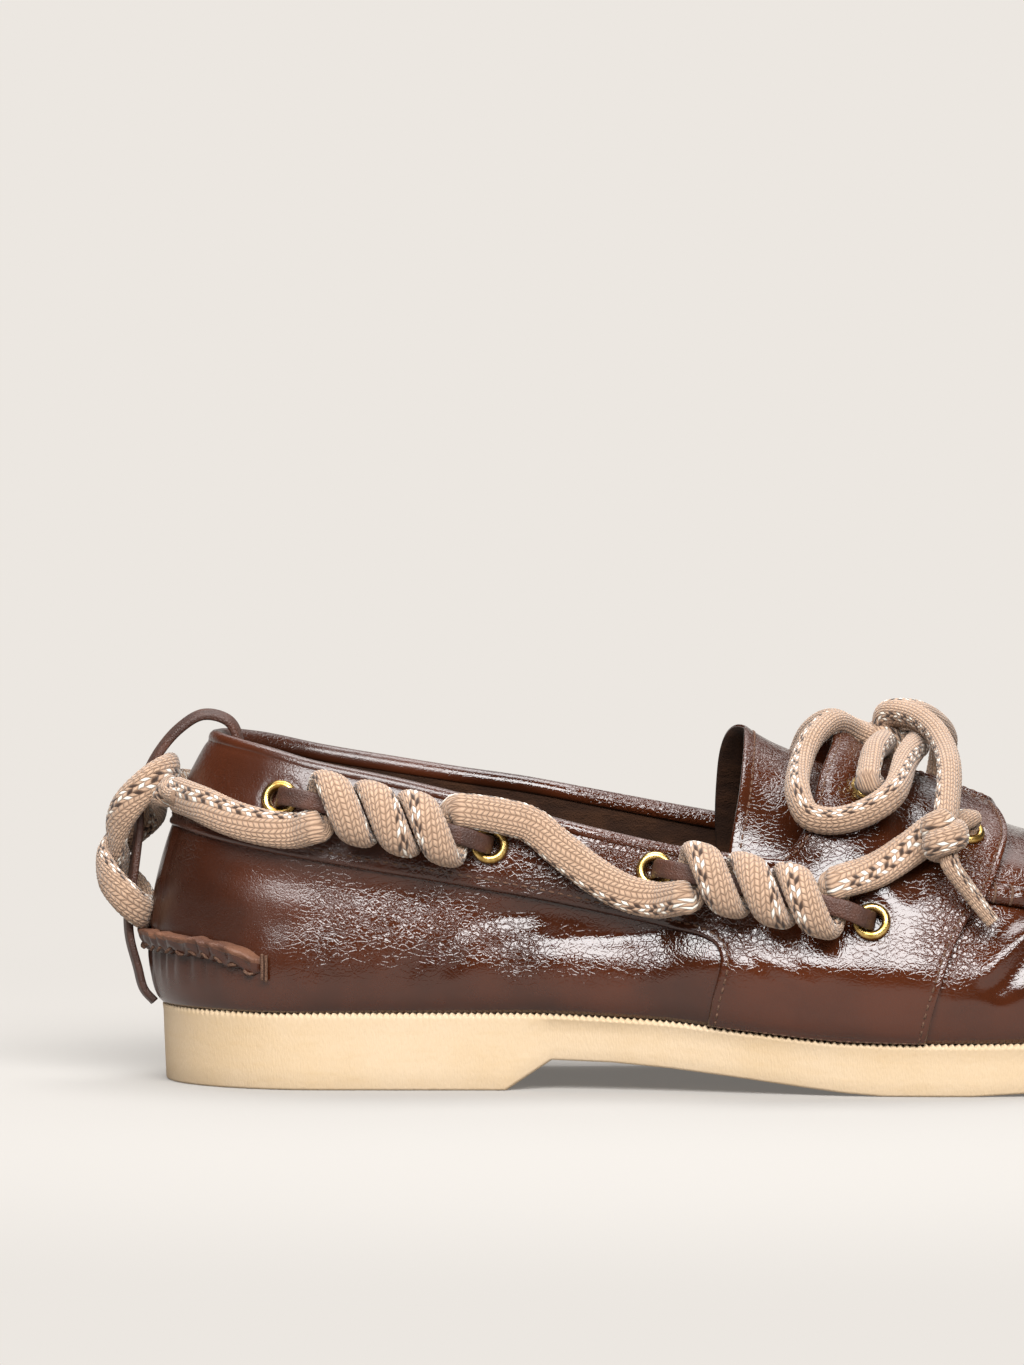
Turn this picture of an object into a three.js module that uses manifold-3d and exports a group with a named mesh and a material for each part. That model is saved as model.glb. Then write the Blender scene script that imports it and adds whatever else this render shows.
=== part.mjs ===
// Loafer of boat-shoe make for the right foot: rubber sole, moccasin upper, collar band with
// brass eyelets, leather thongs and a thick cord that winds round them and ties in a bow.
// Millimetres, +Z up, toe towards +X, outer side of the foot towards -Y. Inside this file x
// is counted from the back of the sole; the last lines move the shoe onto its own origin.
import * as THREE from 'three';
import { mergeVertices } from 'three/addons/utils/BufferGeometryUtils.js';
import Module from 'manifold-3d';

const wasm = await Module();
wasm.setup();

const LATERAL = -1;
const MEDIAL = 1;
const SIDES = [['lateral', LATERAL], ['medial', MEDIAL]];

// Driving dimensions
const GAP = 0.3;
const WALL = 2.0;
const OVERLAY = 1.3;
const FOOT_FORM = { heelX: -3, toeX: 269, widestAboveSeat: 10, tuck: 3.5 };
const HEEL_ROUND = { length: 36, power: 2.1 };
const TOE_ROUND = { length: 85, power: 2.2 };
const TOE_SWING = { from: 150, to: 269, y: 7 };
const CREST = { backX: 52, frontX: 240, blend: 30, swingFrom: 60, swingTo: 235, y: 5 };
const SOLE = { heelX: 0, toeX: 268, inset: 1.2, chamfer: 1.0, taper: 1.0, topEdge: 0.4, minStep: 2.5 };
const INSOLE = { thickness: 3.0, inset: 6.0 };
const FLAP = { lift: 5.0, from: 138, to: 152 };
const SLOT = { fromX: 132, toX: 205, half: 8.5, low: 40 };
const TONGUE = { thickness: 2.0 };
const APRON = { fromX: 184, low: 30, inset: 11.6, height: 1.3, ridgeInset: 7.4, ridgeHeight: 2.6 };
const HEEL_LIP = { height: 2.9 };
const EYELET = {
  outer: 4.3, inner: 2.7, rise: 1.3, throat: 0.6, seat: 0.5, hole: 3.0, drill: 14, around: 10,
};
const THONG = { width: 4.0, thickness: 1.3, standOff: 7.0, lead: 1.2, bend: 6, steps: 4, step: 4 };
const CORD = {
  width: 8.0, thickness: 4.4, eyeletWidth: 4.6, eyeletClear: 1.7, around: 6, ease: 0.4, step: 4,
};
const CROSSING = { width: 6.0, thickness: 3.6, rise: 3.2, x: 171, step: 6, lean: 0.35 };
const STRAP = { width: 5.0, thickness: 1.5, step: 5, middleX: -5.5 };
const FLAT_SIDES = 4;
const BOW = { diameter: 5.6, tipDiameter: 3.4, around: 8, step: 7.5 };
const CUT = { side: 90, top: 150, low: 4 };
const MESH = { stations: 24, lowerRows: 2, upperRows: 7, soleStations: 32, insoleStations: 22 };
const KNOT_MESH = { around: 10, rows: 7 };
const CURVE_STEPS = { topline: 20, toe: 14 };

// One row for each cross-section of the foot form. Lateral and medial are half-widths at the
// widest height, seat is the top of the sole, crest the top of the form, fullness the
// exponent of its rounded profile.
const SECTIONS = [
  { x: -3, lateral: 30.0, medial: 30.0, seat: 17.3, crest: 112.0, fullness: 1.8 },
  { x: 35, lateral: 32.0, medial: 31.0, seat: 17.2, crest: 110.0, fullness: 1.9 },
  { x: 80, lateral: 32.5, medial: 29.0, seat: 17.2, crest: 103.0, fullness: 2.0 },
  { x: 110, lateral: 36.5, medial: 29.5, seat: 16.2, crest: 91.5, fullness: 2.0 },
  { x: 132, lateral: 41.0, medial: 32.5, seat: 14.0, crest: 81.8, fullness: 2.0 },
  { x: 156, lateral: 45.5, medial: 37.0, seat: 11.9, crest: 71.5, fullness: 2.05 },
  { x: 180, lateral: 48.0, medial: 41.0, seat: 11.5, crest: 61.0, fullness: 2.1 },
  { x: 195, lateral: 48.5, medial: 41.3, seat: 11.6, crest: 55.2, fullness: 2.15 },
  { x: 215, lateral: 48.4, medial: 40.8, seat: 12.6, crest: 50.3, fullness: 2.25 },
  { x: 235, lateral: 47.4, medial: 39.6, seat: 14.9, crest: 47.5, fullness: 2.35 },
  { x: 269, lateral: 44.0, medial: 36.0, seat: 20.6, crest: 46.0, fullness: 2.4 },
];

// Underside of the sole: flat heel, sloped heel breast, arch, flat tread, toe spring.
const UNDERSIDE = [
  { x: 0, z: 0 },
  { x: 77.5, z: 0 },
  { x: 88, z: 7.0 },
  { x: 102, z: 6.6 },
  { x: 115, z: 5.5 },
  { x: 128, z: 4.0 },
  { x: 142, z: 2.2 },
  { x: 154, z: 0.7 },
  { x: 163, z: 0 },
  { x: 183, z: 0 },
  { x: 198, z: 0.8 },
  { x: 215, z: 2.1 },
  { x: 235, z: 4.6 },
  { x: 252, z: 7.6 },
  { x: 268, z: 10.8 },
];

// Top edge of the upper: collar, then the throat under the flaps.
const TOPLINE = [
  { x: -14, lateral: 78.6, medial: 78.6 },
  { x: 12, lateral: 78.3, medial: 78.3 },
  { x: 21, lateral: 76.9, medial: 77.0 },
  { x: 36, lateral: 73.1, medial: 73.6 },
  { x: 54, lateral: 69.5, medial: 70.6 },
  { x: 68, lateral: 66.2, medial: 68.4 },
  { x: 82, lateral: 62.6, medial: 66.4 },
  { x: 99, lateral: 58.4, medial: 63.2 },
  { x: 122, lateral: 53.9, medial: 58.8 },
  { x: 140, lateral: 52.2, medial: 55.5 },
  { x: 176, lateral: 50.5, medial: 51.5 },
];
const THROAT_FRONT = [
  { x: 182, z: 53 },
  { x: 186, z: 58 },
  { x: 186, z: CUT.top },
];
const COLLAR_FRONT_X = 125;

// Lower edge of the collar band, from the heel to the corner where it turns down to the sole.
const BAND_EDGE = [
  { x: -14, z: 61.0 },
  { x: 3, z: 58.4 },
  { x: 21, z: 54.6 },
  { x: 39, z: 51.4 },
  { x: 68, z: 46.6 },
  { x: 86, z: 43.5 },
  { x: 104, z: 39.9 },
  { x: 116, z: 37.3 },
  { x: 122, z: 35.8 },
];
const BAND_CORNER = [
  { x: 125.2, z: 33.8 },
  { x: 126.3, z: 30.5 },
  { x: 124.5, z: 22.0 },
  { x: 122.6, z: 4.0 },
];
// Front edge of the saddle, from the sole up to the rounded corner of the flap.
const SADDLE_FRONT = [
  { x: 170.8, z: 4.0 },
  { x: 173.8, z: 20.0 },
  { x: 177.5, z: 31.0 },
  { x: 181.5, z: 39.3 },
  { x: 186.0, z: 45.0 },
  { x: 190.0, z: 53.0 },
  { x: 191.8, z: 58.5 },
  { x: 190.6, z: 62.0 },
  { x: 187.0, z: 66.0 },
  { x: 182.0, z: 84.0 },
];
// Rear edge of the flap, from its top down to the collar.
const FLAP_REAR = [
  { x: 158.0, z: 84.0 },
  { x: 152.0, z: 77.0 },
  { x: 148.6, z: 70.0 },
  { x: 146.2, z: 62.0 },
  { x: 143.0, z: 56.0 },
  { x: 137.0, z: 53.2 },
];
// Edge of the tongue seen from the side.
const TONGUE_OUTLINE = [
  { x: 126.5, z: 46.0 },
  { x: 128.0, z: 56.0 },
  { x: 130.4, z: 68.0 },
  { x: 133.4, z: 90.0 },
  { x: 197.0, z: 90.0 },
  { x: 197.0, z: 46.0 },
];
// Rolled lip of the heel seam seen from the side.
const HEEL_LIP_OUTLINE = [
  { x: -15, z: 29.8 },
  { x: 2, z: 30.2 },
  { x: 11, z: 29.6 },
  { x: 18, z: 27.6 },
  { x: 24.4, z: 25.6 },
  { x: 24.4, z: 30.2 },
  { x: 18, z: 32.6 },
  { x: 12, z: 34.0 },
  { x: 4, z: 34.6 },
  { x: -15, z: 34.6 },
];

const EYELETS = [
  { name: 'rear', x: 27.4, z: 65.7, flap: false },
  { name: 'middle', x: 74.6, z: 55.6, flap: false },
  { name: 'front', x: 111.7, z: 50.2, flap: false },
  { name: 'saddle', x: 160.0, z: 39.5, flap: false },
  { name: 'flap_rear', x: 160.0, z: 67.7, flap: true },
  { name: 'flap_front', x: 181.8, z: 58.4, flap: true },
];
const THONGS = [
  { name: 'rear', from: 'rear', to: 'middle', coilFrom: 35.8, coilTo: 68.8 },
  { name: 'front', from: 'front', to: 'saddle', coilFrom: 117.9, coilTo: 153.2 },
];

// Cord along one side, from the heel to the front flap eyelet. Rows with y are free points,
// the others lie on the leather; a coil row winds the cord round the thong of that name.
const CORD_ROUTE = [
  { x: 3.6, y: -12.6, z: 65.6 },
  { x: 10.5, z: 63.4 },
  { x: 18.4, z: 60.4 },
  { x: 25.2, z: 58.8 },
  { x: 31.0, z: 58.4 },
  { coil: 'rear' },
  { x: 77.0, z: 61.4, clear: 4.4 },
  { x: 84.0, z: 59.6 },
  { x: 91.0, z: 54.2 },
  { x: 99.3, z: 48.2 },
  { x: 106.0, z: 44.8 },
  { x: 112.5, z: 43.4 },
  { coil: 'front' },
  { x: 161.0, z: 49.6 },
  { x: 169.0, z: 54.0 },
  { x: 174.6, z: 57.0, clear: 4.0 },
];
const COIL = { startAngle: -Math.PI, turns: 3.5, stepsPerTurn: 8, rise: 5.4 };

// Heel strap in the plane through the heel, from inside the collar over the top to the sole.
const STRAP_ROUTE = [
  { x: 17.2, z: 67.0 },
  { x: 17.4, z: 76.5 },
  { x: 15.2, z: 81.4 },
  { x: 9.4, z: 83.0 },
  { x: 3.8, z: 79.8 },
  { x: -1.6, z: 73.2 },
  { x: -5.0, z: 65.0 },
  { x: -5.6, z: 56.0 },
  { x: -6.8, z: 46.0 },
  { x: -7.9, z: 38.0 },
  { x: -7.6, z: 32.0 },
  { x: -5.9, z: 25.5 },
  { x: -4.6, z: 20.2 },
];
// The cord's two strands wind round the heel strap in opposite directions.
const HEEL_STRANDS = [
  [
    { x: 2.4, y: -11.0, z: 66.2 },
    { x: -0.8, y: -5.0, z: 65.6 },
    { x: -1.0, y: 1.0, z: 63.6 },
    { x: -3.4, y: 6.4, z: 59.6 },
    { x: -8.0, y: 6.4, z: 54.4 },
    { x: -10.6, y: 1.6, z: 50.0 },
    { x: -10.4, y: -3.6, z: 46.6 },
    { x: -7.0, y: -7.0, z: 42.4 },
    { x: -3.4, y: -5.6, z: 39.6 },
  ],
  [
    { x: 1.8, y: 11.2, z: 66.2 },
    { x: 1.6, y: 4.6, z: 69.4 },
    { x: 1.6, y: -2.0, z: 70.6 },
    { x: -2.2, y: -7.2, z: 68.4 },
    { x: -7.6, y: -6.6, z: 63.0 },
    { x: -10.2, y: -3.4, z: 57.4 },
    { x: -10.4, y: 1.6, z: 51.0 },
    { x: -9.8, y: 4.8, z: 46.0 },
    { x: -6.6, y: 7.2, z: 42.0 },
    { x: -3.4, y: 5.6, z: 39.6 },
  ],
];
// Bow: strands from the rear flap eyelets to the knot, two loops and two knotted ends. Rows
// with clear lie that far off the flaps.
const KNOT = { x: 164.6, y: 2.4, z: 76.2, length: 13.0, width: 10.0, height: 9.0 };
const BOW_STRANDS = {
  lateral: [
    { x: 159.4, z: 69.8, clear: 5.4 },
    { x: 161.0, y: -21.0, z: 75.4 },
    { x: 162.8, y: -13.0, z: 76.8 },
    { x: 164.2, y: -2.9, z: 76.6 },
  ],
  medial: [
    { x: 159.4, z: 69.8, clear: 5.2 },
    { x: 161.0, y: 26.0, z: 75.0 },
    { x: 162.8, y: 18.0, z: 76.8 },
    { x: 164.2, y: 7.7, z: 76.6 },
  ],
};
const BOW_LOOPS = {
  lateral: [
    { x: 157.4, y: -0.6, z: 79.0 },
    { x: 152.2, y: -8.0, z: 81.4 },
    { x: 147.6, y: -15.6, z: 78.6 },
    { x: 144.8, y: -22.6, z: 73.4 },
    { x: 143.8, z: 67.2, clear: 4.8 },
    { x: 146.0, z: 62.8, clear: 4.4 },
    { x: 150.8, z: 61.6, clear: 4.2 },
    { x: 157.0, z: 62.8, clear: 5.4 },
    { x: 164.2, z: 66.8, clear: 6.6 },
    { x: 168.6, y: -19.0, z: 74.0 },
    { x: 170.8, y: -10.4, z: 76.2 },
    { x: 171.6, y: -1.6, z: 76.6 },
  ],
  medial: [
    { x: 157.4, y: 5.4, z: 78.8 },
    { x: 152.6, y: 13.0, z: 80.4 },
    { x: 148.0, y: 21.6, z: 76.6 },
    { x: 145.4, z: 67.0, clear: 5.6 },
    { x: 145.6, z: 57.6, clear: 5.0 },
    { x: 150.6, z: 54.4, clear: 5.0 },
    { x: 157.4, z: 58.6, clear: 5.8 },
    { x: 164.2, z: 65.8, clear: 6.6 },
    { x: 168.8, y: 24.0, z: 74.0 },
    { x: 170.8, y: 15.4, z: 76.2 },
    { x: 171.6, y: 6.6, z: 76.6 },
  ],
};
const BOW_ENDS = {
  lateral: [
    { x: 165.2, y: -0.2, z: 82.6 },
    { x: 170.4, y: -5.8, z: 83.0 },
    { x: 175.0, y: -13.6, z: 80.4 },
    { x: 177.4, y: -23.0, z: 76.2 },
    { x: 177.8, y: -33.0, z: 71.8 },
    { x: 176.7, y: -43.4, z: 63.7 },
  ],
  medial: [
    { x: 165.4, y: 5.0, z: 82.6 },
    { x: 171.4, y: 12.0, z: 83.0 },
    { x: 176.2, y: 21.0, z: 80.4 },
    { x: 179.2, y: 30.0, z: 76.4 },
    { x: 179.4, y: 37.6, z: 71.4 },
    { x: 178.3, y: 41.3, z: 63.4 },
  ],
};
const END_KNOT_SIZE = { length: 10.5, width: 8.0, height: 11.5 };
const END_KNOTS = {
  lateral: { x: 176.2, z: 58.8, clear: 9.4 },
  medial: { x: 177.6, z: 58.0, clear: 9.4 },
};
const BOW_TIPS = {
  lateral: [
    { x: 177.4, z: 52.6, clear: 8.4 },
    { x: 182.0, z: 46.0, clear: 4.8 },
    { x: 187.0, z: 39.4, clear: 2.4 },
  ],
  medial: [
    { x: 178.8, z: 51.8, clear: 8.4 },
    { x: 183.4, z: 44.6, clear: 4.8 },
    { x: 188.4, z: 37.6, clear: 2.4 },
  ],
};

const MATERIALS = {
  leather: new THREE.MeshStandardMaterial({ color: 0x3a1a10, roughness: 0.22 }),
  lining: new THREE.MeshStandardMaterial({ color: 0x3c2a1c, roughness: 0.9 }),
  rubber: new THREE.MeshStandardMaterial({ color: 0xe9cf9c, roughness: 0.75 }),
  brass: new THREE.MeshStandardMaterial({ color: 0xc99a2e, roughness: 0.25, metalness: 1 }),
  cord: new THREE.MeshStandardMaterial({ color: 0xb98f6a, roughness: 0.9 }),
};

// Helpers

const clamp = (value, low, high) => Math.min(high, Math.max(low, value));
const vector = ({ x, y = 0, z }) => new THREE.Vector3(x, y, z);

/** Evenly spaced values, both ends included. */
function spread(from, to, steps) {
  return Array.from({ length: steps + 1 }, (_, i) => from + ((to - from) * i) / steps);
}

/** Values that crowd towards both ends, as round ends need. */
function spreadRound(from, to, steps) {
  return spread(0, Math.PI, steps).map((angle) => from + ((to - from) * (1 - Math.cos(angle))) / 2);
}

function smoothStep(value, from, to) {
  const share = clamp((value - from) / (to - from), 0, 1);
  return share * share * (3 - 2 * share);
}

/** A smooth function through one column of a table, flat beyond its ends. */
function column(rows, key) {
  const slope = rows.slice(1).map((row, i) => (row[key] - rows[i][key]) / (row.x - rows[i].x));
  const tangent = rows.map((_, i) => {
    const before = slope[Math.max(i - 1, 0)];
    const after = slope[Math.min(i, slope.length - 1)];
    return before * after <= 0 ? 0 : (2 * before * after) / (before + after);
  });
  return (x) => {
    const i = clamp(rows.findIndex((row) => row.x > x) - 1, 0, rows.length - 2);
    const at = x >= rows[rows.length - 1].x ? rows.length - 2 : i;
    const span = rows[at + 1].x - rows[at].x;
    const t = clamp((x - rows[at].x) / span, 0, 1);
    const rest = 1 - t;
    return rest * rest * (1 + 2 * t) * rows[at][key] + t * t * (3 - 2 * t) * rows[at + 1][key]
      + span * t * rest * (rest * tangent[at] - t * tangent[at + 1]);
  };
}

const sectionOf = Object.fromEntries(
  ['lateral', 'medial', 'seat', 'crest', 'fullness'].map((key) => [key, column(SECTIONS, key)]),
);
const toplineOf = { [LATERAL]: column(TOPLINE, 'lateral'), [MEDIAL]: column(TOPLINE, 'medial') };
const bandEdgeOf = column(BAND_EDGE, 'z');

/** Turns a closed geometry into a solid for joining and cutting. */
function toSolid(geometry) {
  const bare = geometry.clone();
  bare.deleteAttribute('normal');
  bare.deleteAttribute('uv');
  const merged = mergeVertices(bare, 1e-4);
  const index = Array.from(merged.index.array);
  const triangles = [];
  for (let i = 0; i < index.length; i += 3) {
    const [a, b, c] = index.slice(i, i + 3);
    if (a !== b && b !== c && a !== c) triangles.push(a, b, c);
  }
  return new wasm.Manifold(new wasm.Mesh({
    numProp: 3,
    vertProperties: merged.attributes.position.array,
    triVerts: new Uint32Array(triangles),
  }));
}

/** A solid's surface as a named mesh. */
function toMesh(name, solid, material) {
  const { vertProperties, triVerts } = solid.getMesh();
  const geometry = new THREE.BufferGeometry();
  geometry.setAttribute('position', new THREE.BufferAttribute(vertProperties, 3));
  geometry.setIndex(new THREE.BufferAttribute(triVerts, 1));
  geometry.computeVertexNormals();
  const mesh = new THREE.Mesh(geometry, material);
  mesh.name = name;
  return mesh;
}

/** A geometry from corner points and triangles of point numbers. */
function geometryOf(points, triangles) {
  const geometry = new THREE.BufferGeometry().setFromPoints(points);
  geometry.setIndex(triangles.flat());
  return geometry;
}

/** A closed solid through cross-sections that list their points from the bottom up on each side. */
function sectionSolid(sections) {
  const rows = sections[0].lateral.length;
  const top = rows - 1;
  const points = sections.flatMap(({ lateral, medial }) => [...lateral, ...medial]);
  const outer = (i, j) => 2 * rows * i + j;
  const inner = (i, j) => outer(i, j) + rows;
  const triangles = [];
  const quad = (a, b, c, d) => triangles.push([a, b, c], [a, c, d]);
  for (let i = 0; i + 1 < sections.length; i++) {
    for (let j = 0; j < top; j++) {
      quad(outer(i, j), outer(i + 1, j), outer(i + 1, j + 1), outer(i, j + 1));
      quad(inner(i, j), inner(i, j + 1), inner(i + 1, j + 1), inner(i + 1, j));
    }
    quad(outer(i, 0), inner(i, 0), inner(i + 1, 0), outer(i + 1, 0));
    quad(outer(i, top), outer(i + 1, top), inner(i + 1, top), inner(i, top));
  }
  return toSolid(geometryOf(points, triangles));
}

/** A prism whose outline is drawn in the side view (x, z). */
function sidePrism(outline, fromY, toY) {
  const shape = new THREE.Shape(outline.map(({ x, z }) => new THREE.Vector2(x, z)));
  const geometry = new THREE.ExtrudeGeometry(shape, { depth: toY - fromY, bevelEnabled: false });
  return toSolid(geometry.rotateX(Math.PI / 2).translate(0, toY, 0));
}

/** A prism whose outline is drawn in the top view (x, y). */
function planPrism(outline, fromZ, toZ) {
  const shape = new THREE.Shape(outline.map(({ x, y }) => new THREE.Vector2(x, y)));
  return toSolid(new THREE.ExtrudeGeometry(shape, { depth: toZ - fromZ, bevelEnabled: false })
    .translate(0, 0, fromZ));
}

/** The range of y that a cutter for one side of the shoe fills. */
const sideSpan = (side) => (side === LATERAL ? [-CUT.side, 0] : [0, CUT.side]);

// Foot form

/** Share of the full width that the rounded heel and toe leave at x. */
function endRounding(x, heelX, toeX) {
  const heel = clamp(1 - (x - heelX) / HEEL_ROUND.length, 0, 1);
  const toe = clamp((x - toeX + TOE_ROUND.length) / TOE_ROUND.length, 0, 1);
  if (Math.max(heel, toe) > 1 - 1e-9) return 0;
  return (1 - heel ** HEEL_ROUND.power) ** (1 / HEEL_ROUND.power)
    * (1 - toe ** TOE_ROUND.power) ** (1 / TOE_ROUND.power);
}

/** Plan outline of the shoe at x, grown by offset. */
function outlineY(x, side, offset, heelX, toeX) {
  const half = (side === LATERAL ? sectionOf.lateral(x) : sectionOf.medial(x)) + offset;
  const middle = TOE_SWING.y * smoothStep(x, TOE_SWING.from, TOE_SWING.to);
  return middle + side * half * endRounding(x, heelX, toeX);
}

/** The crest point that the profile starting at x climbs to. */
function crestPoint(x, offset, lift) {
  const past = (x + CREST.backX + Math.hypot(x - CREST.backX, CREST.blend)) / 2;
  const along = (past + CREST.frontX - Math.hypot(past - CREST.frontX, CREST.blend)) / 2;
  const raised = lift * smoothStep(along, FLAP.from, FLAP.to);
  return new THREE.Vector3(
    along,
    CREST.y * smoothStep(along, CREST.swingFrom, CREST.swingTo),
    sectionOf.crest(along) + offset + raised,
  );
}

/** The widest point and the crest of the profile that starts at x, for a form grown by offset. */
function profileEnds(x, side, offset, lift) {
  const heelX = FOOT_FORM.heelX - offset;
  const toeX = FOOT_FORM.toeX + offset;
  const at = clamp(x, heelX, toeX);
  const seat = sectionOf.seat(at) + GAP;
  const edgeY = outlineY(at, side, offset, heelX, toeX);
  const widest = new THREE.Vector3(at, edgeY, seat + FOOT_FORM.widestAboveSeat);
  return { widest, seat, crest: crestPoint(at, offset, lift), fullness: sectionOf.fullness(at) };
}

/** A point of the profile: share 0 to 1 climbs from the widest point to the crest. */
function upperPoint({ widest, crest, fullness }, angle) {
  if (angle >= Math.PI / 2) return crest.clone();
  const inward = 1 - Math.cos(angle) ** (2 / fullness);
  const up = Math.sin(angle) ** (2 / fullness);
  return new THREE.Vector3(
    widest.x + (crest.x - widest.x) * inward,
    widest.y + (crest.y - widest.y) * inward,
    widest.z + (crest.z - widest.z) * up,
  );
}

/** A point of the rounded edge under the widest point, tucked in towards the sole. */
function lowerPoint({ widest, crest, seat }, angle, drop) {
  const inward = new THREE.Vector3(crest.x - widest.x, crest.y - widest.y, 0).normalize();
  const depth = widest.z - seat + drop;
  return widest.clone()
    .addScaledVector(inward, FOOT_FORM.tuck * (1 - Math.cos(angle)))
    .setZ(widest.z + depth * Math.sin(angle));
}

/** The whole foot form, grown by offset; drop lowers its underside and lift raises the flaps. */
function footForm(offset, { drop = 0, lift = 0 } = {}) {
  const profile = (x, side) => {
    const ends = profileEnds(x, side, offset, lift);
    const lower = spread(-Math.PI / 2, 0, MESH.lowerRows).slice(0, -1);
    const upper = spread(0, Math.PI / 2, MESH.upperRows);
    return [
      ...lower.map((angle) => lowerPoint(ends, angle, drop)),
      ...upper.map((angle) => upperPoint(ends, angle)),
    ];
  };
  const stations = spreadRound(FOOT_FORM.heelX - offset, FOOT_FORM.toeX + offset, MESH.stations);
  return sectionSolid(stations.map((x) => ({ lateral: profile(x, LATERAL), medial: profile(x, MEDIAL) })));
}

/** The point of a grown form at x and height z on one side, with its outward direction. */
function onForm(x, z, side, offset, lift = 0) {
  const find = (px, pz) => {
    let station = px;
    let point;
    for (let k = 0; k < 16; k++) {
      const ends = profileEnds(station, side, offset, lift);
      const up = clamp((pz - ends.widest.z) / (ends.crest.z - ends.widest.z), 0, 1);
      point = upperPoint(ends, Math.asin(up ** (ends.fullness / 2)));
      station += px - point.x;
    }
    return point.setX(px).setZ(pz);
  };
  const step = 0.5;
  const alongX = find(x + step, z).sub(find(x - step, z));
  const alongZ = find(x, z + step).sub(find(x, z - step));
  const normal = alongX.cross(alongZ).normalize();
  if (normal.y * side < 0) normal.negate();
  return { point: find(x, z), normal };
}

/** A point this far off the outer face of the collar band or its flap. */
function offSaddle(x, z, side, clear) {
  const { point, normal } = onForm(x, z, side, GAP + OVERLAY, FLAP.lift);
  return { point: point.addScaledVector(normal, clear), normal };
}

/** A table row as a point: free where it has y, else straight out from the saddle at x and z. */
function rowPoint(row, side) {
  if (row.clear === undefined) return vector(row);
  const { point, normal } = onForm(row.x, row.z, side, GAP + OVERLAY, FLAP.lift);
  return point.setY(point.y + row.clear / normal.y);
}

// Outlines and cutters

/** Everything above the top edge of the upper on one side. */
function aboveTopline(side) {
  const backX = TOPLINE[0].x;
  const frontX = TOPLINE[TOPLINE.length - 1].x;
  const rim = spread(backX, frontX, CURVE_STEPS.topline).map((x) => ({ x, z: toplineOf[side](x) }));
  const outline = [...rim, ...THROAT_FRONT, { x: backX, z: CUT.top }];
  return sidePrism(outline, ...sideSpan(side));
}

/** The side-view zone of collar band, saddle and flap; ahead moves its front edge forward. */
function saddleZone(side, ahead = 0) {
  const rimXs = spread(COLLAR_FRONT_X, TOPLINE[0].x, CURVE_STEPS.topline);
  const rim = rimXs.map((x) => ({ x, z: toplineOf[side](x) }));
  const raise = toplineOf[side](COLLAR_FRONT_X) - toplineOf[LATERAL](COLLAR_FRONT_X);
  const rear = FLAP_REAR.map((p, i) => ({ x: p.x, z: p.z + (raise * i) / FLAP_REAR.length }));
  const front = SADDLE_FRONT.map((p) => ({ x: p.x + ahead, z: p.z }));
  const outline = [...BAND_EDGE, ...BAND_CORNER, ...front, ...rear, ...rim];
  return sidePrism(outline, ...sideSpan(side));
}

/** Plan outline of the toe part, inset from the widest line of the form, from fromX forward. */
function toeOutline(inset, fromX) {
  const toeX = FOOT_FORM.toeX - inset;
  const heelX = FOOT_FORM.heelX + inset;
  const angles = spread(0, Math.PI / 2, CURVE_STEPS.toe);
  const xs = angles.map((angle) => fromX + (toeX - fromX) * Math.sin(angle));
  const edge = (side) => xs.map((x) => ({ x, y: outlineY(x, side, -inset, heelX, toeX) }));
  return [...edge(LATERAL), ...edge(MEDIAL).slice(0, -1).reverse()];
}

// Pieces

function makeOutsole() {
  const breaks = UNDERSIDE.map((row) => row.x);
  const rounded = spreadRound(SOLE.heelX, SOLE.toeX, MESH.soleStations);
  const isClear = (x) => breaks.every((b) => b === x || Math.abs(b - x) > SOLE.minStep);
  const stations = [...new Set([...breaks, ...rounded.filter(isClear)])].sort((a, b) => a - b);
  const under = (x) => {
    const i = clamp(UNDERSIDE.findIndex((row) => row.x >= x), 1, UNDERSIDE.length - 1);
    const [a, b] = [UNDERSIDE[i - 1], UNDERSIDE[i]];
    return a.z + ((b.z - a.z) * (x - a.x)) / (b.x - a.x);
  };
  const rings = [
    { inset: SOLE.taper + SOLE.chamfer, z: (x) => under(x) },
    { inset: SOLE.taper, z: (x) => under(x) + SOLE.chamfer },
    { inset: 0, z: (x) => sectionOf.seat(x) - SOLE.chamfer },
    { inset: SOLE.topEdge, z: (x) => sectionOf.seat(x) },
  ];
  const edge = (at, side) => rings.map(({ inset, z }) => {
    const heelX = SOLE.heelX + inset;
    const toeX = SOLE.toeX - inset;
    const x = heelX + ((toeX - heelX) * at) / SOLE.toeX;
    return new THREE.Vector3(x, outlineY(x, side, -SOLE.inset - inset, heelX, toeX), z(at));
  });
  const sections = stations.map((at) => ({ lateral: edge(at, LATERAL), medial: edge(at, MEDIAL) }));
  const solid = sectionSolid(sections);
  return toMesh('outsole', solid, MATERIALS.rubber);
}

function makeInsole() {
  const heelX = FOOT_FORM.heelX + INSOLE.inset;
  const toeX = FOOT_FORM.toeX - INSOLE.inset;
  const edge = (x, side) => {
    const y = outlineY(x, side, -INSOLE.inset, heelX, toeX);
    const low = sectionOf.seat(x) + GAP;
    return [new THREE.Vector3(x, y, low), new THREE.Vector3(x, y, low + INSOLE.thickness)];
  };
  const stations = spreadRound(heelX, toeX, MESH.insoleStations);
  const solid = sectionSolid(stations.map((x) => ({ lateral: edge(x, LATERAL), medial: edge(x, MEDIAL) })));
  return toMesh('insole', solid, MATERIALS.lining);
}

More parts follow.
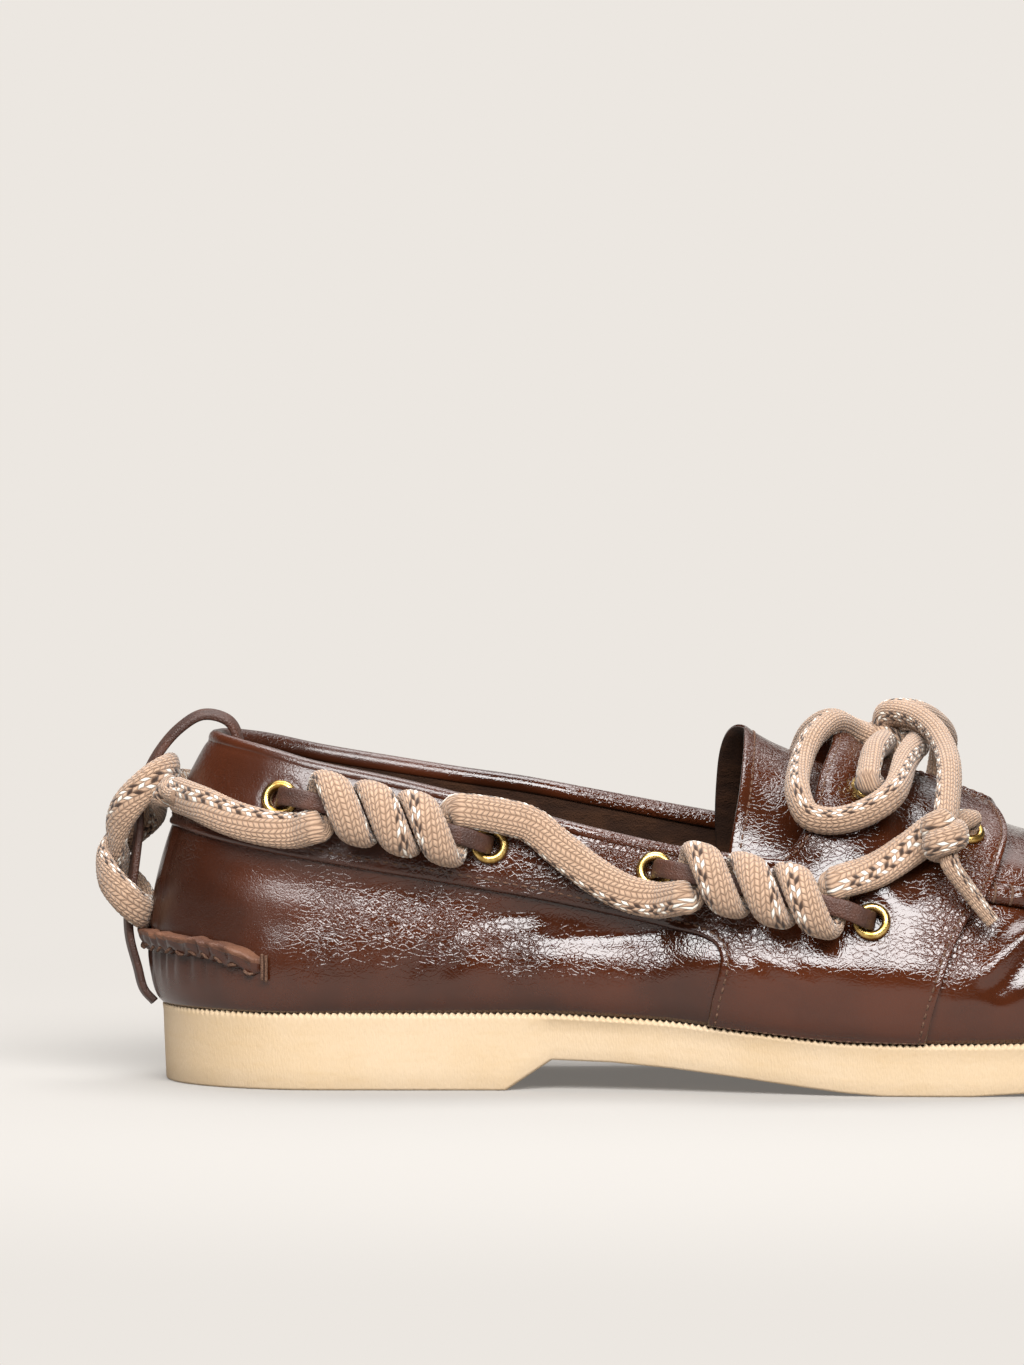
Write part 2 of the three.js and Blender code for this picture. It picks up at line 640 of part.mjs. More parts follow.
/** Straight holes for the eyelets, through whatever layer they are cut from. */
function eyeletHoles(flap) {
  const holes = [];
  for (const [, side] of SIDES) {
    for (const eyelet of EYELETS.filter((e) => e.flap === flap)) {
      const { point, normal } = offSaddle(eyelet.x, eyelet.z, side, 0);
      const drill = new THREE.CylinderGeometry(EYELET.hole, EYELET.hole, EYELET.drill, EYELET.around);
      drill.applyQuaternion(new THREE.Quaternion().setFromUnitVectors(new THREE.Vector3(0, 1, 0), normal));
      holes.push(toSolid(drill.translate(point.x, point.y, point.z)));
    }
  }
  return holes.reduce((all, hole) => all.add(hole));
}

function makeUpper() {
  const hollow = footForm(-WALL, { drop: CUT.low });
  const upper = footForm(0)
    .subtract(hollow)
    .subtract(aboveTopline(LATERAL))
    .subtract(aboveTopline(MEDIAL))
    .subtract(eyeletHoles(false));
  return toMesh('upper', upper, MATERIALS.leather);
}

function makeSaddle() {
  const shell = footForm(GAP + OVERLAY, { lift: FLAP.lift })
    .subtract(footForm(GAP, { lift: FLAP.lift, drop: CUT.low }));
  const middle = crestPoint((SLOT.fromX + SLOT.toX) / 2, 0, 0).y;
  const slot = planPrism([
    { x: SLOT.fromX, y: middle - SLOT.half },
    { x: SLOT.toX, y: middle - SLOT.half },
    { x: SLOT.toX, y: middle + SLOT.half },
    { x: SLOT.fromX, y: middle + SLOT.half },
  ], SLOT.low, CUT.top);
  const saddle = shell
    .intersect(saddleZone(LATERAL).add(saddleZone(MEDIAL)))
    .subtract(slot)
    .subtract(eyeletHoles(false))
    .subtract(eyeletHoles(true));
  return toMesh('saddle', saddle, MATERIALS.leather);
}

function makeTongue() {
  const outside = -WALL - GAP;
  const tongue = footForm(outside).subtract(footForm(outside - TONGUE.thickness, { drop: CUT.low }))
    .intersect(sidePrism(TONGUE_OUTLINE, -CUT.side, CUT.side));
  return toMesh('tongue', tongue, MATERIALS.leather);
}

/** A layer of the foot form between two heights above the upper. */
function layer(height) {
  return footForm(GAP + height).subtract(footForm(GAP));
}

function makeApron() {
  const behind = saddleZone(LATERAL, GAP).add(saddleZone(MEDIAL, GAP));
  const apron = layer(APRON.height)
    .intersect(planPrism(toeOutline(APRON.inset, APRON.fromX), APRON.low, CUT.top))
    .subtract(behind);
  const ridge = layer(APRON.ridgeHeight)
    .intersect(planPrism(toeOutline(APRON.ridgeInset, APRON.fromX), APRON.low, CUT.top))
    .subtract(planPrism(toeOutline(APRON.inset - GAP, SLOT.fromX), 0, CUT.top))
    .subtract(behind);
  return [toMesh('apron', apron, MATERIALS.leather), toMesh('apron_seam', ridge, MATERIALS.leather)];
}

function makeHeelLip() {
  const lip = layer(HEEL_LIP.height).intersect(sidePrism(HEEL_LIP_OUTLINE, -CUT.side, CUT.side));
  return toMesh('heel_seam', lip, MATERIALS.leather);
}

function makeEyelets() {
  const ring = new THREE.LatheGeometry([
    new THREE.Vector2(EYELET.inner, 0),
    new THREE.Vector2(EYELET.outer, 0),
    new THREE.Vector2((EYELET.outer + EYELET.inner) / 2, EYELET.rise),
    new THREE.Vector2(EYELET.inner, EYELET.rise * EYELET.throat),
    new THREE.Vector2(EYELET.inner, 0),
  ], EYELET.around);
  return SIDES.flatMap(([sideName, side]) => EYELETS.map(({ name, x, z }) => {
    const { point, normal } = offSaddle(x, z, side, EYELET.seat);
    const mesh = toMesh(`eyelet_${name}_${sideName}`, toSolid(ring), MATERIALS.brass);
    mesh.position.copy(point);
    mesh.quaternion.setFromUnitVectors(new THREE.Vector3(0, 1, 0), normal);
    return mesh;
  }));
}

/** A closed flat tube through points; outward gives the thin direction, size its two widths. */
function tube(points, outward, size, around = CORD.around) {
  const vertices = [];
  const reach = around === FLAT_SIDES ? Math.SQRT2 : 1;
  points.forEach((point, i) => {
    const ahead = points[Math.min(i + 1, points.length - 1)];
    const behind = points[Math.max(i - 1, 0)];
    const along = ahead.clone().sub(behind).normalize();
    const thin = outward(i).clone().addScaledVector(along, -outward(i).dot(along)).normalize();
    const wide = along.clone().cross(thin);
    const { width, thickness } = size(i);
    for (let k = 0; k < around; k++) {
      const angle = (2 * Math.PI * (k + 0.5)) / around;
      vertices.push(point.clone()
        .addScaledVector(wide, (width / 2) * reach * Math.cos(angle))
        .addScaledVector(thin, (thickness / 2) * reach * Math.sin(angle)));
    }
  });
  const number = (i, k) => i * around + (k % around);
  const triangles = [];
  for (let i = 0; i + 1 < points.length; i++) {
    for (let k = 0; k < around; k++) {
      const [a, b, c, d] = [number(i, k), number(i + 1, k), number(i + 1, k + 1), number(i, k + 1)];
      triangles.push([a, b, c], [a, c, d]);
    }
  }
  for (let k = 1; k + 1 < around; k++) {
    triangles.push([number(0, 0), number(0, k), number(0, k + 1)]);
    const last = points.length - 1;
    triangles.push([number(last, 0), number(last, k + 1), number(last, k)]);
  }
  return toSolid(geometryOf(vertices, triangles));
}

/** Evenly spaced points on a smooth curve through the given ones. */
function smoothPath(points, step) {
  const curve = new THREE.CatmullRomCurve3(points, false, 'centripetal');
  return curve.getSpacedPoints(Math.max(2, Math.round(curve.getLength() / step)));
}

/** The straight line of a thong between its two eyelets, clear of the leather. */
function thongLine(thong, side) {
  const [from, to] = [thong.from, thong.to].map((name) => EYELETS.find((e) => e.name === name));
  const start = offSaddle(from.x, from.z, side, THONG.standOff).point;
  const end = offSaddle(to.x, to.z, side, THONG.standOff).point;
  return (x) => start.clone().lerp(end, (x - from.x) / (to.x - from.x));
}

function makeThongs() {
  return SIDES.flatMap(([sideName, side]) => THONGS.map((thong) => {
    const [from, to] = [thong.from, thong.to].map((name) => EYELETS.find((e) => e.name === name));
    const line = thongLine(thong, side);
    const mouth = (eyelet) => offSaddle(eyelet.x, eyelet.z, side, EYELET.seat);
    const route = [
      mouth(from).point,
      offSaddle(from.x + THONG.lead, from.z, side, THONG.standOff / 2).point,
      ...spread(from.x + THONG.bend, to.x - THONG.bend, THONG.steps).map(line),
      offSaddle(to.x - THONG.lead, to.z, side, THONG.standOff / 2).point,
      mouth(to).point,
    ];
    const { normal } = offSaddle((from.x + to.x) / 2, (from.z + to.z) / 2, side, 0);
    const path = smoothPath(route, THONG.step);
    const solid = tube(path, () => normal, () => THONG, FLAT_SIDES);
    return toMesh(`thong_${thong.name}_${sideName}`, solid, MATERIALS.leather);
  }));
}

/** The cord's turns round a thong, as points with their outward directions. */
function coilPoints(thong, side) {
  const line = thongLine(thong, side);
  const axis = line(1).sub(line(0)).normalize();
  const depth = THONG.thickness / 2 + GAP + CORD.ease + CORD.thickness / 2;
  const steps = Math.round(COIL.turns * COIL.stepsPerTurn);
  return Array.from({ length: steps + 1 }, (_, i) => {
    const share = i / steps;
    const x = thong.coilFrom + (thong.coilTo - thong.coilFrom) * share;
    const angle = COIL.startAngle + 2 * Math.PI * COIL.turns * share;
    const middle = line(x);
    const out = offSaddle(x, middle.z, side, 0).normal;
    const up = out.clone().cross(axis).multiplyScalar(-side);
    const radial = up.clone().multiplyScalar(Math.cos(angle) / COIL.rise)
      .addScaledVector(out, Math.sin(angle) / depth).normalize();
    const point = middle.addScaledVector(up, COIL.rise * Math.cos(angle))
      .addScaledVector(out, depth * Math.sin(angle));
    return { point, out: radial };
  });
}

function makeSideCords() {
  return SIDES.map(([sideName, side]) => {
    const route = CORD_ROUTE.flatMap((row) => {
      if (row.coil) return coilPoints(THONGS.find((thong) => thong.name === row.coil), side);
      if (row.y !== undefined) {
        const point = new THREE.Vector3(row.x, row.y * -side, row.z);
        return [{ point, out: point.clone().setX(point.x - HEEL_ROUND.length).setZ(0) }];
      }
      const clear = row.clear ?? CORD.thickness / 2 + GAP + CORD.ease;
      const { point, normal } = offSaddle(row.x, row.z, side, clear);
      return [{ point, out: normal }];
    });
    const eyelet = EYELETS.find((e) => e.name === 'flap_front');
    const mouthClear = EYELET.seat + EYELET.rise + CORD.eyeletClear + CORD.thickness / 2;
    const mouth = offSaddle(eyelet.x, eyelet.z, side, mouthClear);
    route.push({ point: mouth.point, out: mouth.normal });
    const size = (i) => (i === route.length - 1 ? { ...CORD, width: CORD.eyeletWidth } : CORD);
    const solid = tube(route.map((r) => r.point), (i) => route[i].out, size);
    return toMesh(`cord_${sideName}`, solid, MATERIALS.cord);
  });
}

function makeHeelCord() {
  const strands = HEEL_STRANDS.map((rows) => {
    const path = smoothPath(rows.map(vector), CORD.step);
    const outward = (i) => new THREE.Vector3(path[i].x - STRAP.middleX, path[i].y, 0);
    return tube(path, outward, () => CORD);
  });
  return toMesh('cord_heel', strands[0].add(strands[1]), MATERIALS.cord);
}

function makeHeelStrap() {
  const path = smoothPath(STRAP_ROUTE.map(vector), STRAP.step);
  const across = new THREE.Vector3(0, 1, 0);
  const outward = (i) => {
    const along = path[Math.min(i + 1, path.length - 1)].clone().sub(path[Math.max(i - 1, 0)]);
    return along.cross(across);
  };
  return toMesh('heel_strap', tube(path, outward, () => STRAP, FLAT_SIDES), MATERIALS.leather);
}

/** Cord strands that cross over the tongue, under the flaps. */
function makeCrossing() {
  const eyelet = (name) => EYELETS.find((e) => e.name === name);
  const under = -(OVERLAY + GAP * 2 + CROSSING.thickness / 2);
  const strands = SIDES.map(([, side]) => {
    const front = eyelet('flap_front');
    const rear = eyelet('flap_rear');
    const from = offSaddle(front.x, front.z, side, under).point;
    const to = offSaddle(rear.x, rear.z, -side, under).point;
    const middle = crestPoint(CROSSING.x, -WALL + GAP + CROSSING.rise, 0);
    const path = smoothPath([from, middle, to], CROSSING.step);
    return tube(path, () => new THREE.Vector3(CROSSING.lean, 0, 1), () => CROSSING);
  });
  return toMesh('cord_crossing', strands[0].add(strands[1]), MATERIALS.cord);
}

function ellipsoid({ x, y, z, length, width, height }) {
  const ball = new THREE.SphereGeometry(0.5, KNOT_MESH.around, KNOT_MESH.rows);
  return toSolid(ball.scale(length, width, height).translate(x, y, z));
}

/** A round cord along table rows, with about one step to each length given. */
function roundCord(rows, side, diameter, stepLength) {
  const path = new THREE.CatmullRomCurve3(rows.map((row) => rowPoint(row, side)), false, 'centripetal');
  const corners = Array.from({ length: BOW.around }, (_, k) => (2 * Math.PI * k) / BOW.around);
  const shape = new THREE.Shape(corners.map((angle) => new THREE.Vector2(Math.cos(angle), Math.sin(angle))
    .multiplyScalar(diameter / 2)));
  const steps = Math.max(2, Math.round(path.getLength() / stepLength));
  return toSolid(new THREE.ExtrudeGeometry(shape, { steps, extrudePath: path, bevelEnabled: false }));
}

function makeBow() {
  const pieces = [['bow_knot', ellipsoid(KNOT)]];
  for (const [sideName, side] of SIDES) {
    const { x, y, z } = rowPoint(END_KNOTS[sideName], side);
    pieces.push([`bow_strand_${sideName}`, roundCord(BOW_STRANDS[sideName], side, BOW.diameter, BOW.step)]);
    pieces.push([`bow_loop_${sideName}`, roundCord(BOW_LOOPS[sideName], side, BOW.diameter, BOW.step)]);
    pieces.push([`bow_end_${sideName}`, roundCord(BOW_ENDS[sideName], side, BOW.diameter, BOW.step)]);
    pieces.push([`bow_end_knot_${sideName}`, ellipsoid({ x, y, z, ...END_KNOT_SIZE })]);
    pieces.push([`bow_tip_${sideName}`, roundCord(BOW_TIPS[sideName], side, BOW.tipDiameter, BOW.step)]);
  }
  return pieces.map(([name, solid]) => toMesh(name, solid, MATERIALS.cord));
}

// Assembly

const structure = [
  makeOutsole(),
  makeInsole(),
  makeUpper(),
  makeSaddle(),
  makeTongue(),
  ...makeApron(),
  makeHeelLip(),
  ...makeEyelets(),
  ...makeThongs(),
  makeHeelStrap(),
  ...makeSideCords(),
  makeHeelCord(),
  makeCrossing(),
];
const shoe = new THREE.Group();
shoe.add(...structure);
const box = new THREE.Box3().setFromObject(shoe, true);
shoe.position.set(-(box.min.x + box.max.x) / 2, -(box.min.y + box.max.y) / 2, -box.min.z);
shoe.add(...makeBow());

const loafer = new THREE.Group();
loafer.add(shoe);

export default loafer;
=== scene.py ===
"""Brown patent loafer of boat-shoe make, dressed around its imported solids.

Sizes and tables are millimetres in the shoe's own measure: x runs forward from the back of the
sole, y from the heel's centre line with the outer side negative, z up from the floor. Workshop
turns them into metres of the frame.
"""

import logging
import math
from dataclasses import dataclass, field
from enum import Enum
from functools import cached_property
from typing import Any, Callable, NamedTuple, Sequence

import bmesh
import bpy
import numpy as np
from mathutils import Euler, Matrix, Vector
from mathutils.geometry import delaunay_2d_cdt
from mathutils.kdtree import KDTree

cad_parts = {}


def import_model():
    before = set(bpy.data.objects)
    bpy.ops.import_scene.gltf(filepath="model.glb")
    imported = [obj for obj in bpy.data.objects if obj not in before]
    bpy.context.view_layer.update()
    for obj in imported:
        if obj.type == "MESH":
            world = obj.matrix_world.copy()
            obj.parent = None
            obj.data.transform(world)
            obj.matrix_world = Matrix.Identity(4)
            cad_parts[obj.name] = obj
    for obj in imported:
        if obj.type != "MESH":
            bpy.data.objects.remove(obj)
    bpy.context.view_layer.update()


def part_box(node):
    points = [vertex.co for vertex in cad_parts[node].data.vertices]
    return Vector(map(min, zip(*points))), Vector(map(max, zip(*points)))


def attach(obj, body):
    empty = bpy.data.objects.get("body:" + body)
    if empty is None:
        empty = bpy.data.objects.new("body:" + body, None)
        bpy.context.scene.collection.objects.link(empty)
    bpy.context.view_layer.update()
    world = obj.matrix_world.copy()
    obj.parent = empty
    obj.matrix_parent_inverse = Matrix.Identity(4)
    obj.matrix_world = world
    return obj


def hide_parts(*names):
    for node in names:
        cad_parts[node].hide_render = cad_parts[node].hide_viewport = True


LOG = logging.getLogger("loafer")
MM = 0.001
BODY = "root"
QUARTER_TURN = math.pi / 2
SMALL_TURN = 0.02
PRINCIPLED = "ShaderNodeBsdfPrincipled"
SPAN_SAMPLES = 24
OUTLINE_SAMPLES = 6001
LOCATE_ROUNDS = 24
HALVINGS = 40
WELD_DISTANCE = 2e-6
FOLD_STEP = 3.0
Array = np.ndarray
Pair = tuple[float, float]
Triple = tuple[float, float, float]


class Side(Enum):
    """The two sides of the shoe; the value is the sign of y."""

    LATERAL = -1
    MEDIAL = 1

    @property
    def label(self) -> str:
        """The side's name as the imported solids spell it."""
        return self.name.lower()


class Section(NamedTuple):
    """Cross-section of the foot form: half-widths, sole top, crest and roundness at x."""

    x: float
    lateral: float
    medial: float
    seat: float
    crest: float
    fullness: float


class Rim(NamedTuple):
    """Height of the upper's top edge at x on each side."""

    x: float
    lateral: float
    medial: float


class Spot(NamedTuple):
    """A place in the side view."""

    x: float
    z: float


class Clear(NamedTuple):
    """A place straight out from the saddle at x and z, this far off the leather."""

    x: float
    z: float
    clear: float


class Free(NamedTuple):
    """A free point in space."""

    x: float
    y: float
    z: float


class Fold(NamedTuple):
    """A soft ridge, or trough where height is negative, along a line of x and z."""

    height: float
    width: float
    line: tuple[Pair, ...]


class EyeletPlace(NamedTuple):
    """Where an eyelet sits in the side view."""

    name: str
    x: float
    z: float


class ThongSpan(NamedTuple):
    """A thong between two eyelets and the stretch of it that the cord winds round."""

    name: str
    start: str
    end: str
    coil_from: float
    coil_to: float


class Caps(Enum):
    """How a tube is closed at its two ends."""

    NONE = 0
    FLAT = 1
    STRIPS = 2


def table(kind: type, *values: Sequence[Any]) -> tuple[Any, ...]:
    """Table rows of one kind."""
    return tuple(kind(*value) for value in values)


SECTIONS = table(
    Section,
    (-3, 30.0, 30.0, 17.3, 112.0, 1.8), (35, 32.0, 31.0, 17.2, 110.0, 1.9),
    (80, 32.5, 29.0, 17.2, 103.0, 2.0), (110, 36.5, 29.5, 16.2, 91.5, 2.0),
    (132, 41.0, 32.5, 14.0, 81.8, 2.0), (156, 45.5, 37.0, 11.9, 71.5, 2.05),
    (180, 48.0, 41.0, 11.5, 61.0, 2.1), (195, 48.5, 41.3, 11.6, 55.2, 2.15),
    (215, 48.4, 40.8, 12.6, 50.3, 2.25), (235, 47.4, 39.6, 14.9, 47.5, 2.35),
    (269, 44.0, 36.0, 20.6, 46.0, 2.4),
)
UNDERSIDE = table(
    Spot,
    (0, 0), (77.5, 0), (88, 7.0), (102, 6.6), (115, 5.5), (128, 4.0), (142, 2.2), (154, 0.7), (163, 0),
    (183, 0), (198, 0.8), (215, 2.1), (235, 4.6), (252, 7.6), (268, 10.8),
)
TOPLINE = table(
    Rim,
    (-14, 78.6, 78.6), (12, 78.3, 78.3), (21, 76.9, 77.0), (36, 73.1, 73.6), (54, 69.5, 70.6),
    (68, 66.2, 68.4), (82, 62.6, 66.4), (99, 58.4, 63.2), (122, 53.9, 58.8), (140, 52.2, 55.5),
    (176, 50.5, 51.5), (182, 53.0, 53.0), (186, 58.0, 58.0), (187, 150.0, 150.0),
)
COLLAR_FRONT_X = 125.0
BAND_EDGE = table(
    Spot,
    (3, 58.4), (21, 54.6), (39, 51.4), (68, 46.6), (86, 43.5), (104, 39.9), (116, 37.3), (122, 35.8),
    (125.2, 33.8), (126.3, 30.5), (124.5, 22.0), (123.2, 14.6),
)
SADDLE_FRONT = table(
    Spot,
    (172.0, 11.8), (173.8, 20.0), (177.5, 31.0), (181.5, 39.3), (186.0, 45.0), (190.0, 53.0),
    (191.8, 58.5), (190.6, 62.0), (187.4, 65.0),
)
FLAP_REAR = table(
    Spot,
    (152.0, 77.0), (148.6, 70.0), (146.2, 62.0), (143.0, 56.0), (137.0, 53.2),
)
TONGUE_REAR = table(Spot, (127.0, 46.0), (128.6, 56.0), (131.0, 68.0), (133.6, 90.0))
HEEL_LIP_LOW = table(Spot, (-15, 29.8), (2, 30.2), (11, 29.7), (18, 27.6), (24.4, 25.6))
HEEL_LIP_TOP = table(Spot, (-15, 34.4), (4, 34.5), (12, 33.9), (18, 32.5), (24.4, 30.2))
EYELETS = table(
    EyeletPlace,
    ("rear", 27.4, 65.7), ("middle", 74.6, 55.6), ("front", 111.7, 50.2), ("saddle", 160.0, 39.5),
    ("flap_rear", 160.0, 67.7), ("flap_front", 181.8, 58.4),
)
THONGS = table(
    ThongSpan,
    ("rear", "rear", "middle", 35.8, 68.8), ("front", "front", "saddle", 117.9, 153.2),
)
CORD_TO_REAR_COIL = table(Spot, (10.5, 63.4), (18.4, 60.4), (25.2, 58.8), (31.0, 58.4))
CORD_BETWEEN_COILS = (
    Clear(77.0, 61.4, 4.4), Spot(84.0, 59.6), Spot(91.0, 54.2), Spot(99.3, 48.2), Spot(106.0, 44.8),
    Spot(112.5, 43.4),
)
CORD_TO_FLAP = (Spot(161.0, 49.6), Spot(169.0, 54.0), Clear(174.6, 57.0, 4.0))
CORD_START = Free(3.6, -12.6, 65.6)
HEEL_NEAR = table(
    Free,
    (5.4, -15.4, 65.4), (2.4, -11.0, 66.2), (-0.8, -5.0, 65.6), (-1.0, 1.0, 63.6), (-3.4, 6.4, 59.6),
    (-9.0, 7.2, 54.6), (-13.0, 1.6, 50.0), (-12.0, -4.6, 46.0), (-8.0, -7.6, 41.6), (-4.6, -5.0, 38.4),
)
HEEL_FAR = table(
    Free,
    (-4.6, 5.0, 38.4), (-6.6, 7.4, 42.0), (-9.6, 4.8, 46.0), (-10.0, 1.0, 51.0), (-10.2, -3.4, 57.4),
    (-7.6, -6.8, 63.0), (-2.2, -7.2, 68.4), (1.6, -2.0, 70.6), (1.6, 4.6, 69.4), (1.8, 11.2, 66.2),
    (5.4, 15.4, 65.4),
)
STRAP_ROUTE = table(
    Spot,
    (17.0, 61.0), (17.2, 67.0), (17.4, 76.5), (15.2, 81.4), (9.4, 83.0), (3.8, 79.8), (-1.6, 73.2),
    (-5.0, 65.0), (-5.6, 56.0), (-6.8, 46.0), (-7.9, 38.0), (-7.6, 32.0), (-5.9, 25.5), (-4.4, 20.2),
    (-2.0, 17.4),
)
KNOT = Free(164.6, 2.4, 76.2)
BOW_STRANDS = {
    Side.LATERAL: (
        Clear(159.4, 69.8, 5.4), Free(161.0, -21.0, 75.4), Free(162.8, -13.0, 76.8),
        Free(164.2, -2.9, 76.6),
    ),
    Side.MEDIAL: (
        Clear(159.4, 69.8, 5.2), Free(161.0, 26.0, 75.0), Free(162.8, 18.0, 76.8), Free(164.2, 7.7, 76.6),
    ),
}
BOW_LOOPS = {
    Side.LATERAL: (
        Free(157.4, -0.6, 79.0), Free(152.2, -8.0, 81.4), Free(147.6, -15.6, 78.6),
        Free(144.8, -22.6, 73.4), Clear(143.8, 67.2, 4.8), Clear(146.0, 62.8, 4.4),
        Clear(150.8, 61.6, 4.2), Clear(157.0, 62.8, 5.4), Clear(164.2, 66.8, 6.6),
        Free(168.6, -19.0, 74.0), Free(170.8, -10.4, 76.2), Free(171.6, -1.6, 76.6),
    ),
    Side.MEDIAL: (
        Free(157.4, 5.4, 78.8), Free(152.6, 13.0, 80.4), Free(148.0, 21.6, 76.6), Clear(145.4, 67.0, 5.6),
        Clear(145.6, 57.6, 5.0), Clear(150.6, 54.4, 5.0), Clear(157.4, 58.6, 5.8),
        Clear(164.2, 65.8, 6.6), Free(168.8, 24.0, 74.0), Free(170.8, 15.4, 76.2), Free(171.6, 6.6, 76.6),
    ),
}
BOW_ENDS = {
    Side.LATERAL: (
        Free(165.2, -0.2, 82.6), Free(170.4, -5.8, 83.0), Free(175.0, -13.6, 80.4),
        Free(177.4, -23.0, 76.2), Free(177.8, -33.0, 71.8), Free(176.7, -43.4, 63.7),
    ),
    Side.MEDIAL: (
        Free(165.4, 5.0, 82.6), Free(171.4, 12.0, 83.0), Free(176.2, 21.0, 80.4), Free(179.2, 30.0, 76.4),
        Free(179.4, 37.6, 71.4), Free(178.3, 41.3, 63.4),
    ),
}
END_KNOTS = {Side.LATERAL: Clear(176.2, 58.8, 9.4), Side.MEDIAL: Clear(177.6, 58.0, 9.4)}
BOW_TIPS = {
    Side.LATERAL: (Clear(177.4, 52.6, 8.4), Clear(182.0, 46.0, 4.8), Clear(187.0, 39.4, 2.4)),
    Side.MEDIAL: (Clear(178.8, 51.8, 8.4), Clear(183.4, 44.6, 4.8), Clear(188.4, 37.6, 2.4)),
}
FOLDS = {
    Side.LATERAL: (
        Fold(0.7, 6.0, ((26, 31), (42, 33), (60, 32), (84, 30), (112, 28))),
        Fold(-0.8, 4.4, ((16, 50), (45, 46), (80, 41), (112, 35.5))),
        Fold(-0.6, 2.6, ((54, 24.5), (69, 37), (81, 40))),
        Fold(-0.4, 2.2, ((60, 24), (74, 33), (88, 35))),
        Fold(-0.5, 2.4, ((88, 34), (107, 35.5), (119, 40))),
        Fold(-0.22, 1.2, ((131, 32), (142, 24))),
        Fold(-0.18, 1.1, ((136, 34), (147, 27))),
        Fold(-1.3, 4.2, ((168, 67), (170, 57), (168, 48))),
        Fold(0.9, 5.0, ((152, 66), (155, 56), (160, 48))),
        Fold(1.9, 3.8, ((156, 78), (151.2, 70), (149, 62), (146, 56))),
        Fold(0.8, 5.5, ((124, 29), (146, 28.5), (170, 28))),
        Fold(0.7, 5.0, ((119, 30.5), (134, 30), (150, 29))),
        Fold(1.0, 2.2, ((185, 28), (190, 33), (196, 38), (204, 41))),
        Fold(-0.7, 2.6, ((185, 34), (191, 39), (199, 43))),
        Fold(-0.7, 2.8, ((189, 25), (197, 31), (207, 35))),
    ),
    Side.MEDIAL: (
        Fold(1.5, 8.0, ((28, 33), (58, 35), (88, 33))),
        Fold(-0.6, 2.6, ((56, 25), (71, 36), (84, 39))),
        Fold(-0.22, 1.3, ((133, 32), (145, 25))),
        Fold(-1.1, 4.2, ((170, 66), (171, 56), (168, 48))),
        Fold(1.2, 3.4, ((153, 79), (148.6, 72), (146.2, 65), (143, 60))),
        Fold(1.0, 2.3, ((186, 29), (192, 34), (201, 40))),
        Fold(-0.6, 2.8, ((190, 26), (199, 32), (209, 36))),
    ),
}
# Swell of the walls: height above the floor and how far they stand out there.
BELLY = (
    (10, 0.5), (17, 0.75), (20.5, 0.85), (24, 0.7), (28, 0.25), (31, -0.1), (34, -0.3), (38, -0.38),
    (44, -0.2), (50, 0.0), (90, 0.0),
)
BELLY_REAR = (8.0, 30.0)
BELLY_FRONT = (-205.0, -180.0)


def unit(vectors: Array) -> Array:
    """Vectors scaled to length one."""
    return vectors / np.maximum(np.linalg.norm(vectors, axis=-1, keepdims=True), 1e-12)


def square_to(vectors: Array, axes: Array) -> Array:
    """Unit vectors turned square to one axis each."""
    return unit(vectors - axes * np.sum(vectors * axes, axis=-1, keepdims=True))


def arc_length(line: Array) -> Array:
    """Length along a polyline up to each of its points."""
    return np.concatenate([[0.0], np.cumsum(np.linalg.norm(np.diff(line, axis=0), axis=1))])


def interpolated(marks: Array, along: Array, line: Array) -> Array:
    """Points of a polyline, or vectors beside it, at lengths along it."""
    return np.stack([np.interp(marks, along, column) for column in line.T], -1)


def round_heel(lateral: Array, medial: Array) -> Array:
    """Rows that run from the heel on each side, as one run round the heel."""
    return np.vstack([lateral[::-1], medial[1:]])


def smooth_step(value: Array, low: float, high: float) -> Array:
    """Soft rise from 0 at low to 1 at high."""
    share = np.clip((value - low) / (high - low), 0.0, 1.0)
    return share * share * (3 - 2 * share)


def resample(line: Array, step: float) -> Array:
    """Evenly spaced points on a polyline.

    Args:
        line: Points in order.
        step: Wanted distance between the new points.

    Returns:
        The new points, both ends kept.
    """
    along = arc_length(line)
    marks = np.linspace(0, along[-1], max(2, round(along[-1] / step)) + 1)
    return interpolated(marks, along, line)


def smooth_path(points: Sequence[Sequence[float]], step: float) -> Array:
    """A centripetal curve through points, evenly resampled.

    Args:
        points: Points that the curve passes through.
        step: Distance between the returned points.

    Returns:
        Points on the curve, both ends included.
    """
    knots = np.asarray(points, float)
    ends = np.vstack([2 * knots[0] - knots[1], knots, 2 * knots[-1] - knots[-2]])
    share = np.linspace(0, 1, SPAN_SAMPLES, endpoint=False)[:, None]
    spans = []
    for i in range(len(knots) - 1):
        a, b, c, d = ends[i : i + 4]
        before, here, after = (np.linalg.norm(q - p) ** 0.5 for p, q in ((a, b), (b, c), (c, d)))
        leave = ((b - a) / before - (c - a) / (before + here) + (c - b) / here) * here
        arrive = ((c - b) / here - (d - b) / (here + after) + (d - c) / after) * here
        bend = 2 * b - 2 * c + leave + arrive
        rise = -3 * b + 3 * c - 2 * leave - arrive
        spans.append(b + share * leave + share**2 * rise + share**3 * bend)
    return resample(np.vstack([*spans, knots[-1:]]), step)


def carried_normals(line: Array, first: Array) -> Array:
    """Side directions carried along a line without twisting.

    Args:
        line: Points in order.
        first: Wanted direction at the first point.

    Returns:
        One unit direction for each point, square to the line.
    """
    along = unit(np.gradient(line, axis=0))
    out = np.empty_like(line)
    current = np.asarray(first, float)
    for i, heading in enumerate(along):
        current = current - heading * current.dot(heading)
        current = current / np.linalg.norm(current)
        out[i] = current
    return out


